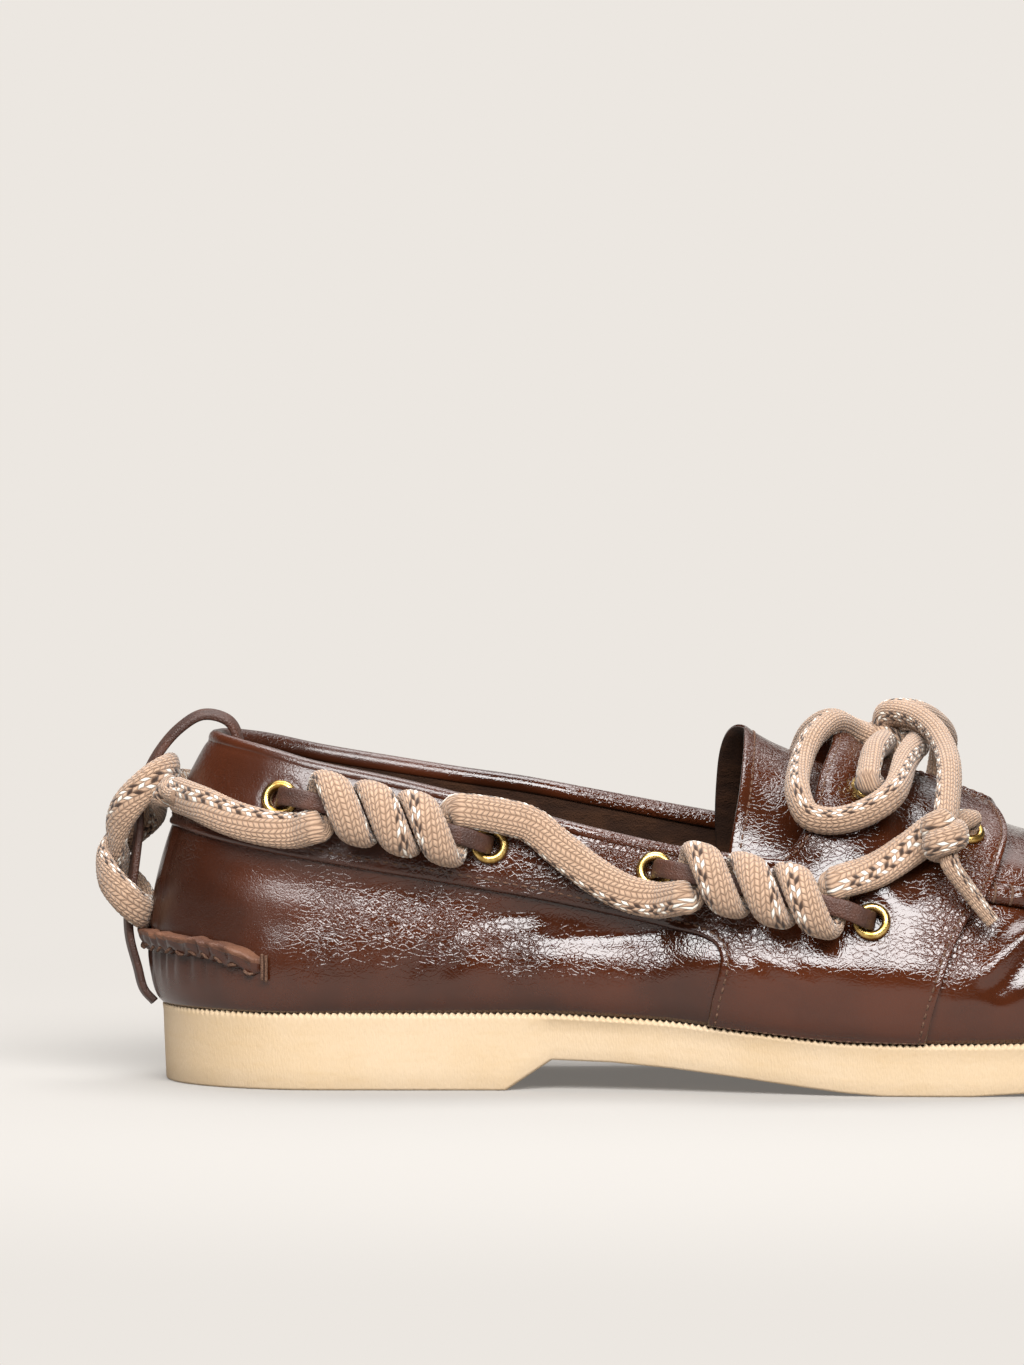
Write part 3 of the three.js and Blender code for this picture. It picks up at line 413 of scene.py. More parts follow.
def grid_faces(rows: int, columns: int, closed: bool = False, base: int = 0) -> Array:
    """Quads of a grid whose points are numbered row by row.

    Args:
        rows: Number of rows.
        columns: Points in each row.
        closed: Whether the last column joins the first.
        base: Number of the grid's first point.

    Returns:
        Four point numbers for each face.
    """
    across = np.arange(columns if closed else columns - 1)
    down = np.arange(rows - 1)[:, None]
    left = down * columns + across
    right = down * columns + (across + 1) % columns
    return base + np.stack([left, right, right + columns, left + columns], -1).reshape(-1, 4)


class Column:
    """A smooth function through one column of a table, flat beyond its ends."""

    def __init__(self, places: Sequence[float], values: Sequence[float]) -> None:
        """Works out the slopes.

        Args:
            places: Rising positions.
            values: The value at each position.
        """
        self.places = np.asarray(places, float)
        self.values = np.asarray(values, float)
        slope = np.diff(self.values) / np.diff(self.places)
        before = np.concatenate([slope[:1], slope])
        after = np.concatenate([slope, slope[-1:]])
        total = np.where(before * after > 0, before + after, 1.0)
        self.slopes = np.where(before * after > 0, 2 * before * after / total, 0.0)

    def __call__(self, place: Array) -> Array:
        """The value at each place.

        Args:
            place: Positions of any shape.

        Returns:
            Values of the same shape.
        """
        place = np.clip(place, self.places[0], self.places[-1])
        i = np.clip(np.searchsorted(self.places, place, side="right") - 1, 0, len(self.places) - 2)
        span = self.places[i + 1] - self.places[i]
        t = (place - self.places[i]) / span
        rest = 1 - t
        ends = rest**2 * (1 + 2 * t) * self.values[i] + t**2 * (3 - 2 * t) * self.values[i + 1]
        return ends + span * t * rest * (rest * self.slopes[i] - t * self.slopes[i + 1])


def side_curve(spots: Sequence[Spot]) -> Column:
    """Height over x through side-view spots."""
    return Column(*zip(*spots))


class Ends(NamedTuple):
    """Widest point, crest, seat height and roundness of the profiles."""

    widest: Array
    crest: Array
    seat: Array
    fullness: Array


@dataclass
class FootForm:
    """Rounded form of the foot that every leather piece is cut from."""

    heel_x: float = -3.0
    toe_x: float = 269.0
    gap: float = 0.3
    widest_above_seat: float = 10.0
    tuck: float = 3.5
    heel_round: float = 36.0
    heel_power: float = 2.1
    toe_round: float = 85.0
    toe_power: float = 2.2
    toe_swing: Triple = (150.0, 269.0, 7.0)
    crest_back: float = 52.0
    crest_front: float = 240.0
    crest_blend: float = 30.0
    crest_swing: Triple = (60.0, 235.0, 5.0)
    flap_rise: Pair = (138.0, 152.0)
    upper_scale: float = 55.0
    lower_scale: float = 7.0
    slope_step: float = 0.5
    section: dict[str, Column] = field(init=False)
    rim: dict[Side, Column] = field(init=False)
    arcs: dict[Side, tuple[Array, Array]] = field(init=False)

    def __post_init__(self) -> None:
        """Works out the smooth columns and the length along each side's outline."""
        xs, *columns = zip(*SECTIONS)
        self.section = {key: Column(xs, values) for key, values in zip(Section._fields[1:], columns)}
        rim_xs, *heights = zip(*TOPLINE)
        self.rim = {side: Column(rim_xs, values) for side, values in zip(Side, heights)}
        turn = np.linspace(0, math.pi, OUTLINE_SAMPLES)
        stations = self.heel_x + (self.toe_x - self.heel_x) * (1 - np.cos(turn)) / 2
        outlines = {side: self.ends(stations, side.value, 0.0, 0.0).widest[:, :2] for side in Side}
        self.arcs = {side: (stations, arc_length(outline)) for side, outline in outlines.items()}

    def rounding(self, x: Array, heel_x: Array, toe_x: Array) -> Array:
        """Share of the full width that the rounded heel and toe leave.

        Args:
            x: Places along the shoe.
            heel_x: Its rear end.
            toe_x: Its front end.

        Returns:
            Shares from 0 to 1.
        """
        heel = np.clip(1 - (x - heel_x) / self.heel_round, 0, 1)
        toe = np.clip((x - toe_x + self.toe_round) / self.toe_round, 0, 1)
        back = np.maximum(1 - heel**self.heel_power, 0) ** (1 / self.heel_power)
        return back * np.maximum(1 - toe**self.toe_power, 0) ** (1 / self.toe_power)

    def outline_y(self, x: Array, side: Array, offset: Array, heel_x: Array, toe_x: Array) -> Array:
        """Plan outline of the shoe.

        Args:
            x: Places along the shoe.
            side: Sign of y.
            offset: Growth of the outline.
            heel_x: Its rear end.
            toe_x: Its front end.

        Returns:
            The outline's y.
        """
        half = np.where(np.asarray(side) < 0, self.section["lateral"](x), self.section["medial"](x))
        low, high, swing = self.toe_swing
        reach = (half + offset) * self.rounding(x, heel_x, toe_x)
        return swing * smooth_step(x, low, high) + side * reach

    def ends(self, station: Array, side: Array, offset: Array, lift: Array) -> Ends:
        """Where profiles start and end.

        Args:
            station: Places along the form, from heel_x to toe_x.
            side: Sign of y.
            offset: Growth of the form.
            lift: Rise of the flaps above it.

        Returns:
            Widest points, crests, seats and roundness.
        """
        station, side, offset, lift = np.broadcast_arrays(station, side, offset, lift)
        heel_x, toe_x = self.heel_x - offset, self.toe_x + offset
        share = (station - self.heel_x) / (self.toe_x - self.heel_x)
        at = heel_x + share * (toe_x - heel_x)
        seat = self.section["seat"](at) + self.gap
        edge = self.outline_y(at, side, offset, heel_x, toe_x)
        past = (at + self.crest_back + np.hypot(at - self.crest_back, self.crest_blend)) / 2
        along = (past + self.crest_front - np.hypot(past - self.crest_front, self.crest_blend)) / 2
        swing_from, swing_to, swing = self.crest_swing
        top = self.section["crest"](along) + offset + lift * smooth_step(along, *self.flap_rise)
        widest = np.stack([at, edge, seat + self.widest_above_seat], -1)
        crest = np.stack([along, swing * smooth_step(along, swing_from, swing_to), top], -1)
        return Ends(widest, crest, seat, self.section["fullness"](at))

    def point(
        self, station: Array, angle: Array, side: Array, offset: Array = 0.0, lift: Array = 0.0
    ) -> Array:
        """Points of the form.

        Args:
            station: Places along the form.
            angle: Profile angle: 0 at the widest line, a quarter turn at the crest, negative below.
            side: Sign of y.
            offset: Growth of the form.
            lift: Rise of the flaps above it.

        Returns:
            Points, with x, y and z last.
        """
        shape = np.broadcast_shapes(*(np.shape(v) for v in (station, angle, side, offset, lift)))
        station, angle, side = (np.broadcast_to(v, shape) for v in (station, angle, side))
        widest, crest, seat, fullness = self.ends(station, side, np.broadcast_to(offset, shape), lift)
        up = np.clip(angle, 0, QUARTER_TURN)
        down = np.clip(angle, -QUARTER_TURN, 0)
        inward = 1 - np.maximum(np.cos(up), 0) ** (2 / fullness)
        rise = np.sin(up) ** (2 / fullness)
        spot = widest + (crest - widest) * np.stack([inward, inward, rise], -1)
        tucked = self.tuck * (1 - np.cos(down))
        spot[..., :2] += unit(crest[..., :2] - widest[..., :2]) * tucked[..., None]
        spot[..., 2] += (widest[..., 2] - seat) * np.sin(down)
        return spot

    def locate(
        self, x: Array, z: Array, side: Array, offset: Array = 0.0, lift: Array = 0.0
    ) -> tuple[Array, Array]:
        """Station and profile angle of side-view places.

        Args:
            x: Places along the shoe.
            z: Heights.
            side: Sign of y.
            offset: Growth of the form.
            lift: Rise of the flaps above it.

        Returns:
            Stations and angles.
        """
        x, z, side = np.broadcast_arrays(np.asarray(x, float), np.asarray(z, float), side)
        station = np.clip(x, self.heel_x, self.toe_x)
        angle = np.zeros_like(station)
        for _ in range(LOCATE_ROUNDS):
            widest, crest, seat, fullness = self.ends(station, side, offset, lift)
            reach = z - widest[..., 2]
            up = np.clip(reach / (crest[..., 2] - widest[..., 2]), 0, 1)
            down = np.clip(reach / (widest[..., 2] - seat), -1, 0)
            angle = np.where(reach >= 0, np.arcsin(up ** (fullness / 2)), np.arcsin(down))
            short = x - self.point(station, angle, side, offset, lift)[..., 0]
            station = np.clip(station + short, self.heel_x, self.toe_x)
        return station, angle

    def surface(self, x: float, z: float, side: Side, offset: float, lift: float) -> tuple[Array, Array]:
        """The point at a side-view place and its outward direction.

        Args:
            x: Place along the shoe.
            z: Height.
            side: Which side.
            offset: Growth of the form.
            lift: Rise of the flaps above it.

        Returns:
            Point and unit normal.
        """
        step = self.slope_step
        xs = x + np.array([0, step, -step, 0, 0])
        zs = z + np.array([0, 0, 0, step, -step])
        station, angle = self.locate(xs, zs, side.value, offset, lift)
        spots = self.point(station, angle, side.value, offset, lift)
        spots[:, 0], spots[:, 2] = xs, zs
        normal = unit(np.cross(spots[1] - spots[2], spots[3] - spots[4]))
        return spots[0], normal * (1 if normal[1] * side.value > 0 else -1)

    def angle_where(self, inside: Callable[[Array], Array], station: Array, side: int) -> Array:
        """The profile angle at which a border is crossed.

        Args:
            inside: Number that is negative once points are past the border.
            station: Places along the form.
            side: Sign of y.

        Returns:
            Angles, a quarter turn where the border isn't reached.
        """
        low = np.zeros_like(station)
        high = np.full_like(station, QUARTER_TURN)
        for _ in range(HALVINGS):
            middle = (low + high) / 2
            past = inside(self.point(station, middle, side)) < 0
            high = np.where(past, middle, high)
            low = np.where(past, low, middle)
        return high

    def station_at(self, arc: Array, side: Array) -> Array:
        """Station at a length along the outline from the heel."""
        found = {s: np.interp(arc, self.arcs[s][1], self.arcs[s][0]) for s in Side}
        return np.where(np.asarray(side) < 0, found[Side.LATERAL], found[Side.MEDIAL])

    def arc_at(self, station: Array, side: Array) -> Array:
        """Length along the outline from the heel to a station."""
        found = {s: np.interp(station, self.arcs[s][0], self.arcs[s][1]) for s in Side}
        return np.where(np.asarray(side) < 0, found[Side.LATERAL], found[Side.MEDIAL])

    def flatten(self, station: Array, angle: Array, side: Array) -> Array:
        """Stations and angles as flat pattern points, outer side negative."""
        across = np.where(angle >= 0, angle * self.upper_scale, angle * self.lower_scale)
        return np.stack([side * self.arc_at(station, side), across], -1)

    def unflatten(self, flat: Array) -> tuple[Array, Array, Array]:
        """Flat pattern points back on the form.

        Args:
            flat: Flat points, outer side negative.

        Returns:
            Stations, angles and signs of y.
        """
        side = np.where(flat[:, 0] < 0, -1, 1)
        station = self.station_at(np.abs(flat[:, 0]), side)
        across = flat[:, 1]
        angle = np.where(across >= 0, across / self.upper_scale, across / self.lower_scale)
        return station, angle, side

    def even_stations(self, spacing: float, first: float | None = None) -> Array:
        """Stations about evenly spaced along the longer outline.

        Args:
            spacing: Wanted distance along the outline.
            first: Station to start from, the heel when left out.

        Returns:
            Rising stations up to the toe.
        """
        start = 0.0 if first is None else float(self.arc_at(first, -1))
        end = self.arcs[Side.LATERAL][1][-1]
        marks = np.linspace(start, end, round((end - start) / spacing) + 1)
        return self.station_at(marks, -1)


def gathered(along: Array, pitch: float) -> Array:
    """Uneven waves of leather that is drawn together by its seam."""
    return np.cos(2 * math.pi * along / pitch + 1.3 * np.sin(along * 0.41))


def fold_height(x: Array, z: Array, side: Array) -> Array:
    """Height of the walls' swell and of the listed ridges and troughs.

    Args:
        x: Places along the shoe.
        z: Heights.
        side: Sign of y.

    Returns:
        Height above the plain leather.
    """
    total = Column(*zip(*BELLY))(z) * smooth_step(x, *BELLY_REAR) * smooth_step(-x, *BELLY_FRONT)
    place = np.stack([x, z], -1)
    for fold_side, folds in FOLDS.items():
        on_side = np.asarray(side) == fold_side.value
        for fold in folds:
            line = smooth_path(fold.line, FOLD_STEP)
            nearest = np.full(np.shape(x), np.inf)
            for a, b in zip(line[:-1], line[1:]):
                run = b - a
                share = np.clip(((place - a) @ run) / run.dot(run), 0, 1)
                nearest = np.minimum(nearest, np.linalg.norm(place - a - share[..., None] * run, axis=-1))
            total += np.where(on_side, fold.height * np.exp(-((nearest / fold.width) ** 2)), 0)
    return total


@dataclass
class Shape:
    """A mesh under construction, in millimetres."""

    points: Array
    faces: list[list[int]]
    finish: Array | None = None
    uv: Array | None = None
    weld: bool = False


def joined(shapes: Sequence[Shape]) -> Shape:
    """Several shapes as one.

    Args:
        shapes: Shapes without welds.

    Returns:
        One shape with all their points and faces.
    """
    faces: list[list[int]] = []
    base = 0
    for shape in shapes:
        faces.extend([number + base for number in face] for face in shape.faces)
        base += len(shape.points)
    uv = np.vstack([s.uv for s in shapes]) if shapes[0].uv is not None else None
    return Shape(np.vstack([s.points for s in shapes]), faces, uv=uv)


def tube(rings: Array, caps: Caps = Caps.NONE, weld: bool = False) -> Shape:
    """A skin over rings of points.

    Args:
        rings: Rings in order, each running round the piece.
        caps: How the two ends are closed.
        weld: Whether points that meet are joined.

    Returns:
        The shape.
    """
    count, around = rings.shape[:2]
    faces = grid_faces(count, around, closed=True).tolist()
    last = (count - 1) * around
    if caps is Caps.FLAT:
        faces += [list(range(around))[::-1], list(range(last, last + around))]
    if caps is Caps.STRIPS:
        for base in (0, last):
            end = base + around - 1
            faces += [[base + k, base + k + 1, end - 1 - k, end - k] for k in range(around // 2 - 1)]
    return Shape(rings.reshape(-1, 3), faces, weld=weld)


def swept(line: Array, thin: Array, section: Array) -> Shape:
    """A closed solid swept along a line.

    Args:
        line: Points in order.
        thin: Direction of the section's second axis at each point.
        section: Outline of the section, the same all along or one for each point.

    Returns:
        The swept shape with flat ends.
    """
    along = unit(np.gradient(line, axis=0))
    out = square_to(thin, along)
    wide = np.cross(along, out)
    outline = np.broadcast_to(section, (len(line), *np.shape(section)[-2:]))
    rings = line[:, None] + outline[..., :1] * wide[:, None] + outline[..., 1:] * out[:, None]
    return tube(rings, Caps.FLAT)


def rounded_bar(width: float, thickness: float, around: int = 16, power: float = 5.0) -> Array:
    """Outline of a flat bar with soft corners.

    Args:
        width: Its width.
        thickness: Its thickness.
        around: Number of points.
        power: 2 for an oval, more for squarer corners.

    Returns:
        Points of the outline.
    """
    turn = 2 * math.pi * (np.arange(around) + 0.5) / around
    reach = (np.abs(np.cos(turn)) ** power + np.abs(np.sin(turn)) ** power) ** (-1 / power)
    return np.stack([width / 2 * reach * np.cos(turn), thickness / 2 * reach * np.sin(turn)], -1)


def add_object(name: str, data: bpy.types.ID) -> bpy.types.Object:
    """Adds an object to the scene.

    Args:
        name: Its name.
        data: Its mesh, camera or light.

    Returns:
        The object.
    """
    made = bpy.data.objects.new(name, data)
    bpy.context.scene.collection.objects.link(made)
    return made


@dataclass
class Workshop:
    """Makes the pieces: meshes in the frame that ride on the shoe's one body."""

    shift: Array

    @classmethod
    def from_frame(cls) -> "Workshop":
        """Finds the shoe's own measure in the frame.

        Returns:
            A workshop that counts from the back of the sole and the heel's centre line.
        """
        sole_low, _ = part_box("outsole")
        strap_low, strap_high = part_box("heel_strap")
        return cls(np.array([sole_low.x, (strap_low.y + strap_high.y) / 2, 0.0]))

    def metres(self, points: Array) -> Array:
        """Points of the shoe's own measure in the frame."""
        return np.asarray(points, float) * MM + self.shift

    def piece(
        self,
        name: str,
        shape: Shape,
        finishes: Sequence["Finish"],
        slot: str,
        replaces: Sequence[str] = (),
    ) -> bpy.types.Object:
        """Makes one piece of the shoe.

        Args:
            name: The piece's name.
            shape: Its mesh.
            finishes: Its finishes, numbered as shape.finish does.
            slot: Not used.
            replaces: Solids that the piece stands for.

        Returns:
            The piece.
        """
        mesh = bpy.data.meshes.new(name)
        mesh.from_pydata(self.metres(shape.points).tolist(), [], shape.faces)
        if shape.uv is not None:
            layer = mesh.uv_layers.new(name="braid")
            layer.data.foreach_set("uv", shape.uv.astype(np.float32).ravel())
        if shape.finish is not None:
            mesh.polygons.foreach_set("material_index", shape.finish.astype(np.int32))
        for finish in finishes:
            mesh.materials.append(finish.material)
        work = bmesh.new()
        work.from_mesh(mesh)
        if shape.weld:
            bmesh.ops.remove_doubles(work, verts=work.verts, dist=WELD_DISTANCE)
        bmesh.ops.recalc_face_normals(work, faces=work.faces)
        work.to_mesh(mesh)
        work.free()
        mesh.polygons.foreach_set("use_smooth", [True] * len(mesh.polygons))
        mesh.update()
        made = add_object(name, mesh)
        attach(made, BODY)
        if replaces:
            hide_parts(*replaces)
        LOG.info("%s: %d faces", name, len(mesh.polygons))
        return made


class Sock:
    """A shader output that Python's arithmetic extends with Math nodes."""

    def __init__(self, graph: "ShaderGraph", socket: bpy.types.NodeSocket) -> None:
        """Keeps the graph and the socket."""
        self.graph = graph
        self.socket = socket

    def math(self, operation: str, *others: "Sock | float") -> "Sock":
        """This value and others through one Math node."""
        return self.graph.math(operation, self, *others)

    def __add__(self, other: "Sock | float") -> "Sock":
        """This plus other."""
        return self.math("ADD", other)

    __radd__ = __add__

    def __sub__(self, other: "Sock | float") -> "Sock":
        """This less other."""
        return self.math("SUBTRACT", other)

    def __rsub__(self, other: float) -> "Sock":
        """Other less this."""
        return self.graph.math("SUBTRACT", other, self)

    def __mul__(self, other: "Sock | float") -> "Sock":
        """This times other."""
        return self.math("MULTIPLY", other)

    __rmul__ = __mul__

    def __pow__(self, other: "Sock | float") -> "Sock":
        """This to the power of other."""
        return self.math("POWER", other)

    def __mod__(self, other: "Sock | float") -> "Sock":
        """Remainder of this over other, never negative."""
        return self.math("FLOORED_MODULO", other)

    def __lt__(self, other: "Sock | float") -> "Sock":
        """1 where this is less than other."""
        return self.math("LESS_THAN", other)

    def __abs__(self) -> "Sock":
        """Size of this value."""
        return self.math("ABSOLUTE")

    def floor(self) -> "Sock":
        """Whole part."""
        return self.math("FLOOR")

    def fraction(self) -> "Sock":
        """What is past the whole part."""
        return self.math("FRACT")

    def smooth(self, low: float, high: float) -> "Sock":
        """Soft rise from 0 to 1.

        Args:
            low: Value where it starts.
            high: Value where it ends.

        Returns:
            The risen value.
        """
        settings = {"interpolation_type": "SMOOTHSTEP"}
        inputs = {"Value": self, "From Min": low, "From Max": high}
        return self.graph.node("ShaderNodeMapRange", settings, inputs)


class ShaderGraph:
    """A node tree that is written as expressions."""

    def __init__(self, tree: bpy.types.NodeTree) -> None:
        """Empties the tree."""
        self.tree = tree
        tree.nodes.clear()

    @classmethod
    def of_material(cls, name: str) -> tuple["ShaderGraph", bpy.types.Material]:
        """Makes a material.

        Args:
            name: The material's name.

        Returns:
            Its empty graph and the material.
        """
        material = bpy.data.materials.new(name)
        material.use_nodes = True
        return cls(material.node_tree), material

    def node(
        self,
        kind: str,
        settings: dict[str, Any] | None = None,
        inputs: dict[str | int, Any] | None = None,
        output: str | int = 0,
    ) -> Sock:
        """Adds a node.

        Args:
            kind: The node's type.
            settings: Its own settings, which are set first.
            inputs: Values or links of its sockets.
            output: The output that is wanted.

        Returns:
            That output.
        """
        made = self.tree.nodes.new(kind)
        for key, value in (settings or {}).items():
            setattr(made, key, value)
        for key, value in (inputs or {}).items():
            if isinstance(value, Sock):
                self.tree.links.new(value.socket, made.inputs[key])
            else:
                made.inputs[key].default_value = value
        return Sock(self, made.outputs[output])

    def math(self, operation: str, *values: Sock | float) -> Sock:
        """Values through one Math node."""
        return self.node("ShaderNodeMath", {"operation": operation}, dict(enumerate(values)))

    def mix(self, factor: Sock, first: Any, second: Any) -> Sock:
        """Colour that goes from first to second as factor goes from 0 to 1."""
        return self.node("ShaderNodeMix", {"data_type": "RGBA"}, {0: factor, 6: first, 7: second}, 2)

    def place(self) -> Sock:
        """Place in the frame, in metres."""
        return self.node("ShaderNodeTexCoord", output="Object")

    def vector(self, operation: str, first: Sock, second: Sock | Triple) -> Sock:
        """Two vectors through one Vector Math node."""
        return self.node("ShaderNodeVectorMath", {"operation": operation}, {0: first, 1: second})

    def axis(self, place: Sock, name: str) -> Sock:
        """One of a place's numbers."""
        return self.node("ShaderNodeSeparateXYZ", None, {0: place}, name)

    def stretched(self, place: Sock, scale: Triple) -> Sock:
        """A place with each axis scaled."""
        return self.vector("MULTIPLY", place, scale)

    def noise(self, place: Sock, scale: float, detail: float = 2.0, output: str = "Fac") -> Sock:
        """Soft noise, about scale lumps to the metre."""
        inputs = {"Vector": place, "Scale": scale, "Detail": detail}
        return self.node("ShaderNodeTexNoise", None, inputs, output)

    def cracks(self, place: Sock, scale: float) -> Sock:
        """Distance from the borders of a cell pattern."""
        settings = {"feature": "DISTANCE_TO_EDGE"}
        return self.node("ShaderNodeTexVoronoi", settings, {"Vector": place, "Scale": scale})

    def warped(self, place: Sock, scale: float, reach: float) -> Sock:
        """A place that is pushed about by noise.

        Args:
            place: The place.
            scale: Lumps of the noise to the metre.
            reach: Width of the band that places are pushed about in.

        Returns:
            The pushed place.
        """
        push = self.noise(place, scale, 2.0, "Color")
        centred = self.vector("SUBTRACT", push, (0.5, 0.5, 0.5))
        return self.vector("ADD", place, self.vector("MULTIPLY", centred, (reach, reach, reach)))

    def bump(self, height: Sock, distance: float) -> Sock:
        """Normal of a surface with this relief, distance metres high."""
        return self.node("ShaderNodeBump", None, {"Height": height, "Distance": distance, "Strength": 1.0})

    def finish(self, shader: Sock, kind: str = "ShaderNodeOutputMaterial") -> None:
        """Links the shader to the tree's output."""
        self.tree.links.new(shader.socket, self.tree.nodes.new(kind).inputs["Surface"])

def tint(code: str) -> tuple[float, float, float, float]:
    """A colour code as a linear colour.

    Args:
        code: Six hexadecimal digits after a hash sign.

    Returns:
        Red, green, blue and alpha.
    """
    parts = [int(code[i : i + 2], 16) / 255 for i in (1, 3, 5)]
    red, green, blue = (p / 12.92 if p <= 0.04045 else ((p + 0.055) / 1.055) ** 2.4 for p in parts)
    return red, green, blue, 1.0


class Finish:
    """A procedural finish that makes its material when first used."""

    name: str

    def shade(self, graph: ShaderGraph) -> Sock:
        """The finish's shader."""
        raise NotImplementedError

    @cached_property
    def material(self) -> bpy.types.Material:
        """The finish's material.

        Returns:
            The material, made at the first call.
        """
        graph, material = ShaderGraph.of_material(self.name)
        graph.finish(self.shade(graph))
        return material


@dataclass(frozen=True)
class PatentLeather(Finish):
    """Glazed leather whose gloss breaks up in a net of fine crinkles."""

    name: str = "patent_leather"
    deep: str = "#220e06"
    warm: str = "#46200f"
    cells: float = 760.0
    groove: float = 0.00013
    gloss: float = 0.05
    ior: float = 1.55
    smooth_below: float = 0.021
    creased_above: float = 0.034
    smooth_behind: float = -0.145
    creased_before: float = -0.115
    slant: float = 1.2
    saddle_rear: Pair = (-0.002, 0.008)
    saddle_front: Pair = (0.038, 0.05)
    saddle_top: Pair = (0.038, 0.046)
    swell: float = 2.8

    def shade(self, graph: ShaderGraph) -> Sock:
        """Narrow creases in a smooth glaze over mottled brown.

        Args:
            graph: Graph to add to.

        Returns:
            The shader.
        """
        place = graph.place()
        pulled = graph.stretched(graph.warped(place, 110.0, 0.005), (1.0, 1.0, 1.3))
        net = graph.cracks(pulled, self.cells * 0.75).smooth(0.0, 0.13)
        fine = graph.cracks(graph.warped(place, 330.0, 0.002), self.cells * 1.5).smooth(0.0, 0.22)
        grain = graph.noise(place, 3400.0, 2.0)
        height = graph.axis(place, "Z")
        forward = graph.axis(place, "X")
        flexed = height.smooth(self.smooth_below, self.creased_above)
        drift = graph.noise(place, 45.0, 2.0) * 0.02 - height * self.slant
        stiff = 1.0 - (forward + drift).smooth(self.smooth_behind, self.creased_before)
        worn = 0.1 + flexed * (0.9 - stiff * 0.6)
        saddle = forward.smooth(*self.saddle_rear) * (1.0 - forward.smooth(*self.saddle_front))
        calm = saddle * (1.0 - height.smooth(*self.saddle_top))
        patches = 0.06 + graph.noise(place, 34.0, 2.0).smooth(0.42, 0.66) * 0.94
        creased = patches * worn * (1.0 - calm * 0.8)
        waves = graph.noise(place, 70.0, 2.0)
        creases = net * (0.1 * worn + creased * 0.95) + fine * (0.06 * worn + creased * 0.5)
        relief = creases + grain * (0.1 + stiff * 0.25) + waves * self.swell
        mottle = graph.noise(place, 30.0, 4.0).smooth(0.3, 0.72)
        colour = graph.mix(mottle * 0.7 + grain * 0.3, tint(self.deep), tint(self.warm))
        return graph.node(PRINCIPLED, None, {
            "Base Color": colour,
            "Roughness": self.gloss + graph.noise(place, 260.0, 3.0) * 0.07 + stiff * 0.2,
            "IOR": self.ior,
            "Normal": graph.bump(relief, self.groove),
        })


@dataclass(frozen=True)
class CutLeather(Finish):
    """Plain cut leather: thongs, straps and raw edges."""

    name: str = "cut_leather"
    dark: str = "#2a150d"
    pale: str = "#4c2a1b"
    grain: float = 1500.0
    roughness: float = 0.46

    def shade(self, graph: ShaderGraph) -> Sock:
        """Fine grain over mottled brown.

        Args:
            graph: Graph to add to.

        Returns:
            The shader.
        """
        place = graph.place()
        grain = graph.cracks(graph.warped(place, 700.0, 0.001), self.grain).smooth(0.0, 0.4)
        fibre = graph.noise(place, self.grain * 3, 3.0)
        mottle = graph.noise(place, 180.0, 4.0).smooth(0.3, 0.7)
        colour = graph.mix(mottle * 0.6 + fibre * 0.4, tint(self.dark), tint(self.pale))
        return graph.node(PRINCIPLED, None, {
            "Base Color": colour,
            "Roughness": self.roughness + fibre * 0.2,
            "Normal": graph.bump(grain * 0.6 + fibre * 0.6, 0.00014),
        })


@dataclass(frozen=True)
class Suede(Finish):
    """Napped lining leather."""

    name: str = "suede_lining"
    dark: str = "#1d0f08"
    pale: str = "#3c2414"

    def shade(self, graph: ShaderGraph) -> Sock:
        """Soft nap in two tones.

        Args:
            graph: Graph to add to.

        Returns:
            The shader.
        """
        place = graph.place()
        nap = graph.noise(place, 2600.0, 3.0)
        brushed = graph.noise(graph.stretched(place, (1.0, 1.0, 2.2)), 130.0, 4.0).smooth(0.3, 0.72)
        colour = graph.mix(brushed * 0.55 + nap * 0.45, tint(self.dark), tint(self.pale))
        return graph.node(PRINCIPLED, None, {
            "Base Color": colour,
            "Roughness": 0.86 + nap * 0.12,
            "Specular IOR Level": 0.2,
            "Normal": graph.bump(nap + brushed * 0.8, 0.00030),
        })


@dataclass(frozen=True)
class SoleRubber(Finish):
    """Pale crepe-coloured rubber with clouds and streaks of a warmer honey tone."""

    name: str = "sole_rubber"
    cream: str = "#b6a288"
    honey: str = "#aa906b"

    def shade(self, graph: ShaderGraph) -> Sock:
        """Fine buffed rubber in two tones.

        Args:
            graph: Graph to add to.

        Returns:
            The shader.
        """
        place = graph.place()
        buffed = graph.noise(graph.stretched(place, (1.0, 1.0, 0.35)), 2400.0, 3.0)
        cloud = graph.noise(place, 38.0, 4.0).smooth(0.32, 0.75)
        streak = graph.noise(graph.stretched(place, (1.0, 1.0, 6.0)), 110.0, 3.0).smooth(0.45, 0.8)
        tone = cloud * 0.42 + buffed * 0.26 + streak * 0.16
        colour = graph.mix(tone, tint(self.cream), tint(self.honey))
        return graph.node(PRINCIPLED, None, {
            "Base Color": colour,
            "Roughness": 0.58 + buffed * 0.2,
            "Specular IOR Level": 0.35,
            "Normal": graph.bump(buffed + cloud * 0.5, 0.00012),
        })


@dataclass(frozen=True)
class Brass(Finish):
    """Polished brass with a slightly dulled surface."""

    name: str = "eyelet_brass"
    bright: str = "#d8b873"
    dull: str = "#96702f"

    def shade(self, graph: ShaderGraph) -> Sock:
        """Worn gold tone with fine scratches.

        Args:
            graph: Graph to add to.

        Returns:
            The shader.
        """
        place = graph.place()
        wear = graph.noise(place, 420.0, 4.0).smooth(0.35, 0.75)
        scratch = graph.noise(graph.stretched(place, (1.0, 1.0, 7.0)), 1500.0, 3.0)
        return graph.node(PRINCIPLED, None, {
            "Base Color": graph.mix(wear, tint(self.bright), tint(self.dull)),
            "Metallic": 1.0,
            "Roughness": 0.2 + wear * 0.12 + scratch * 0.08,
            "Normal": graph.bump(scratch, 0.00003),
        })


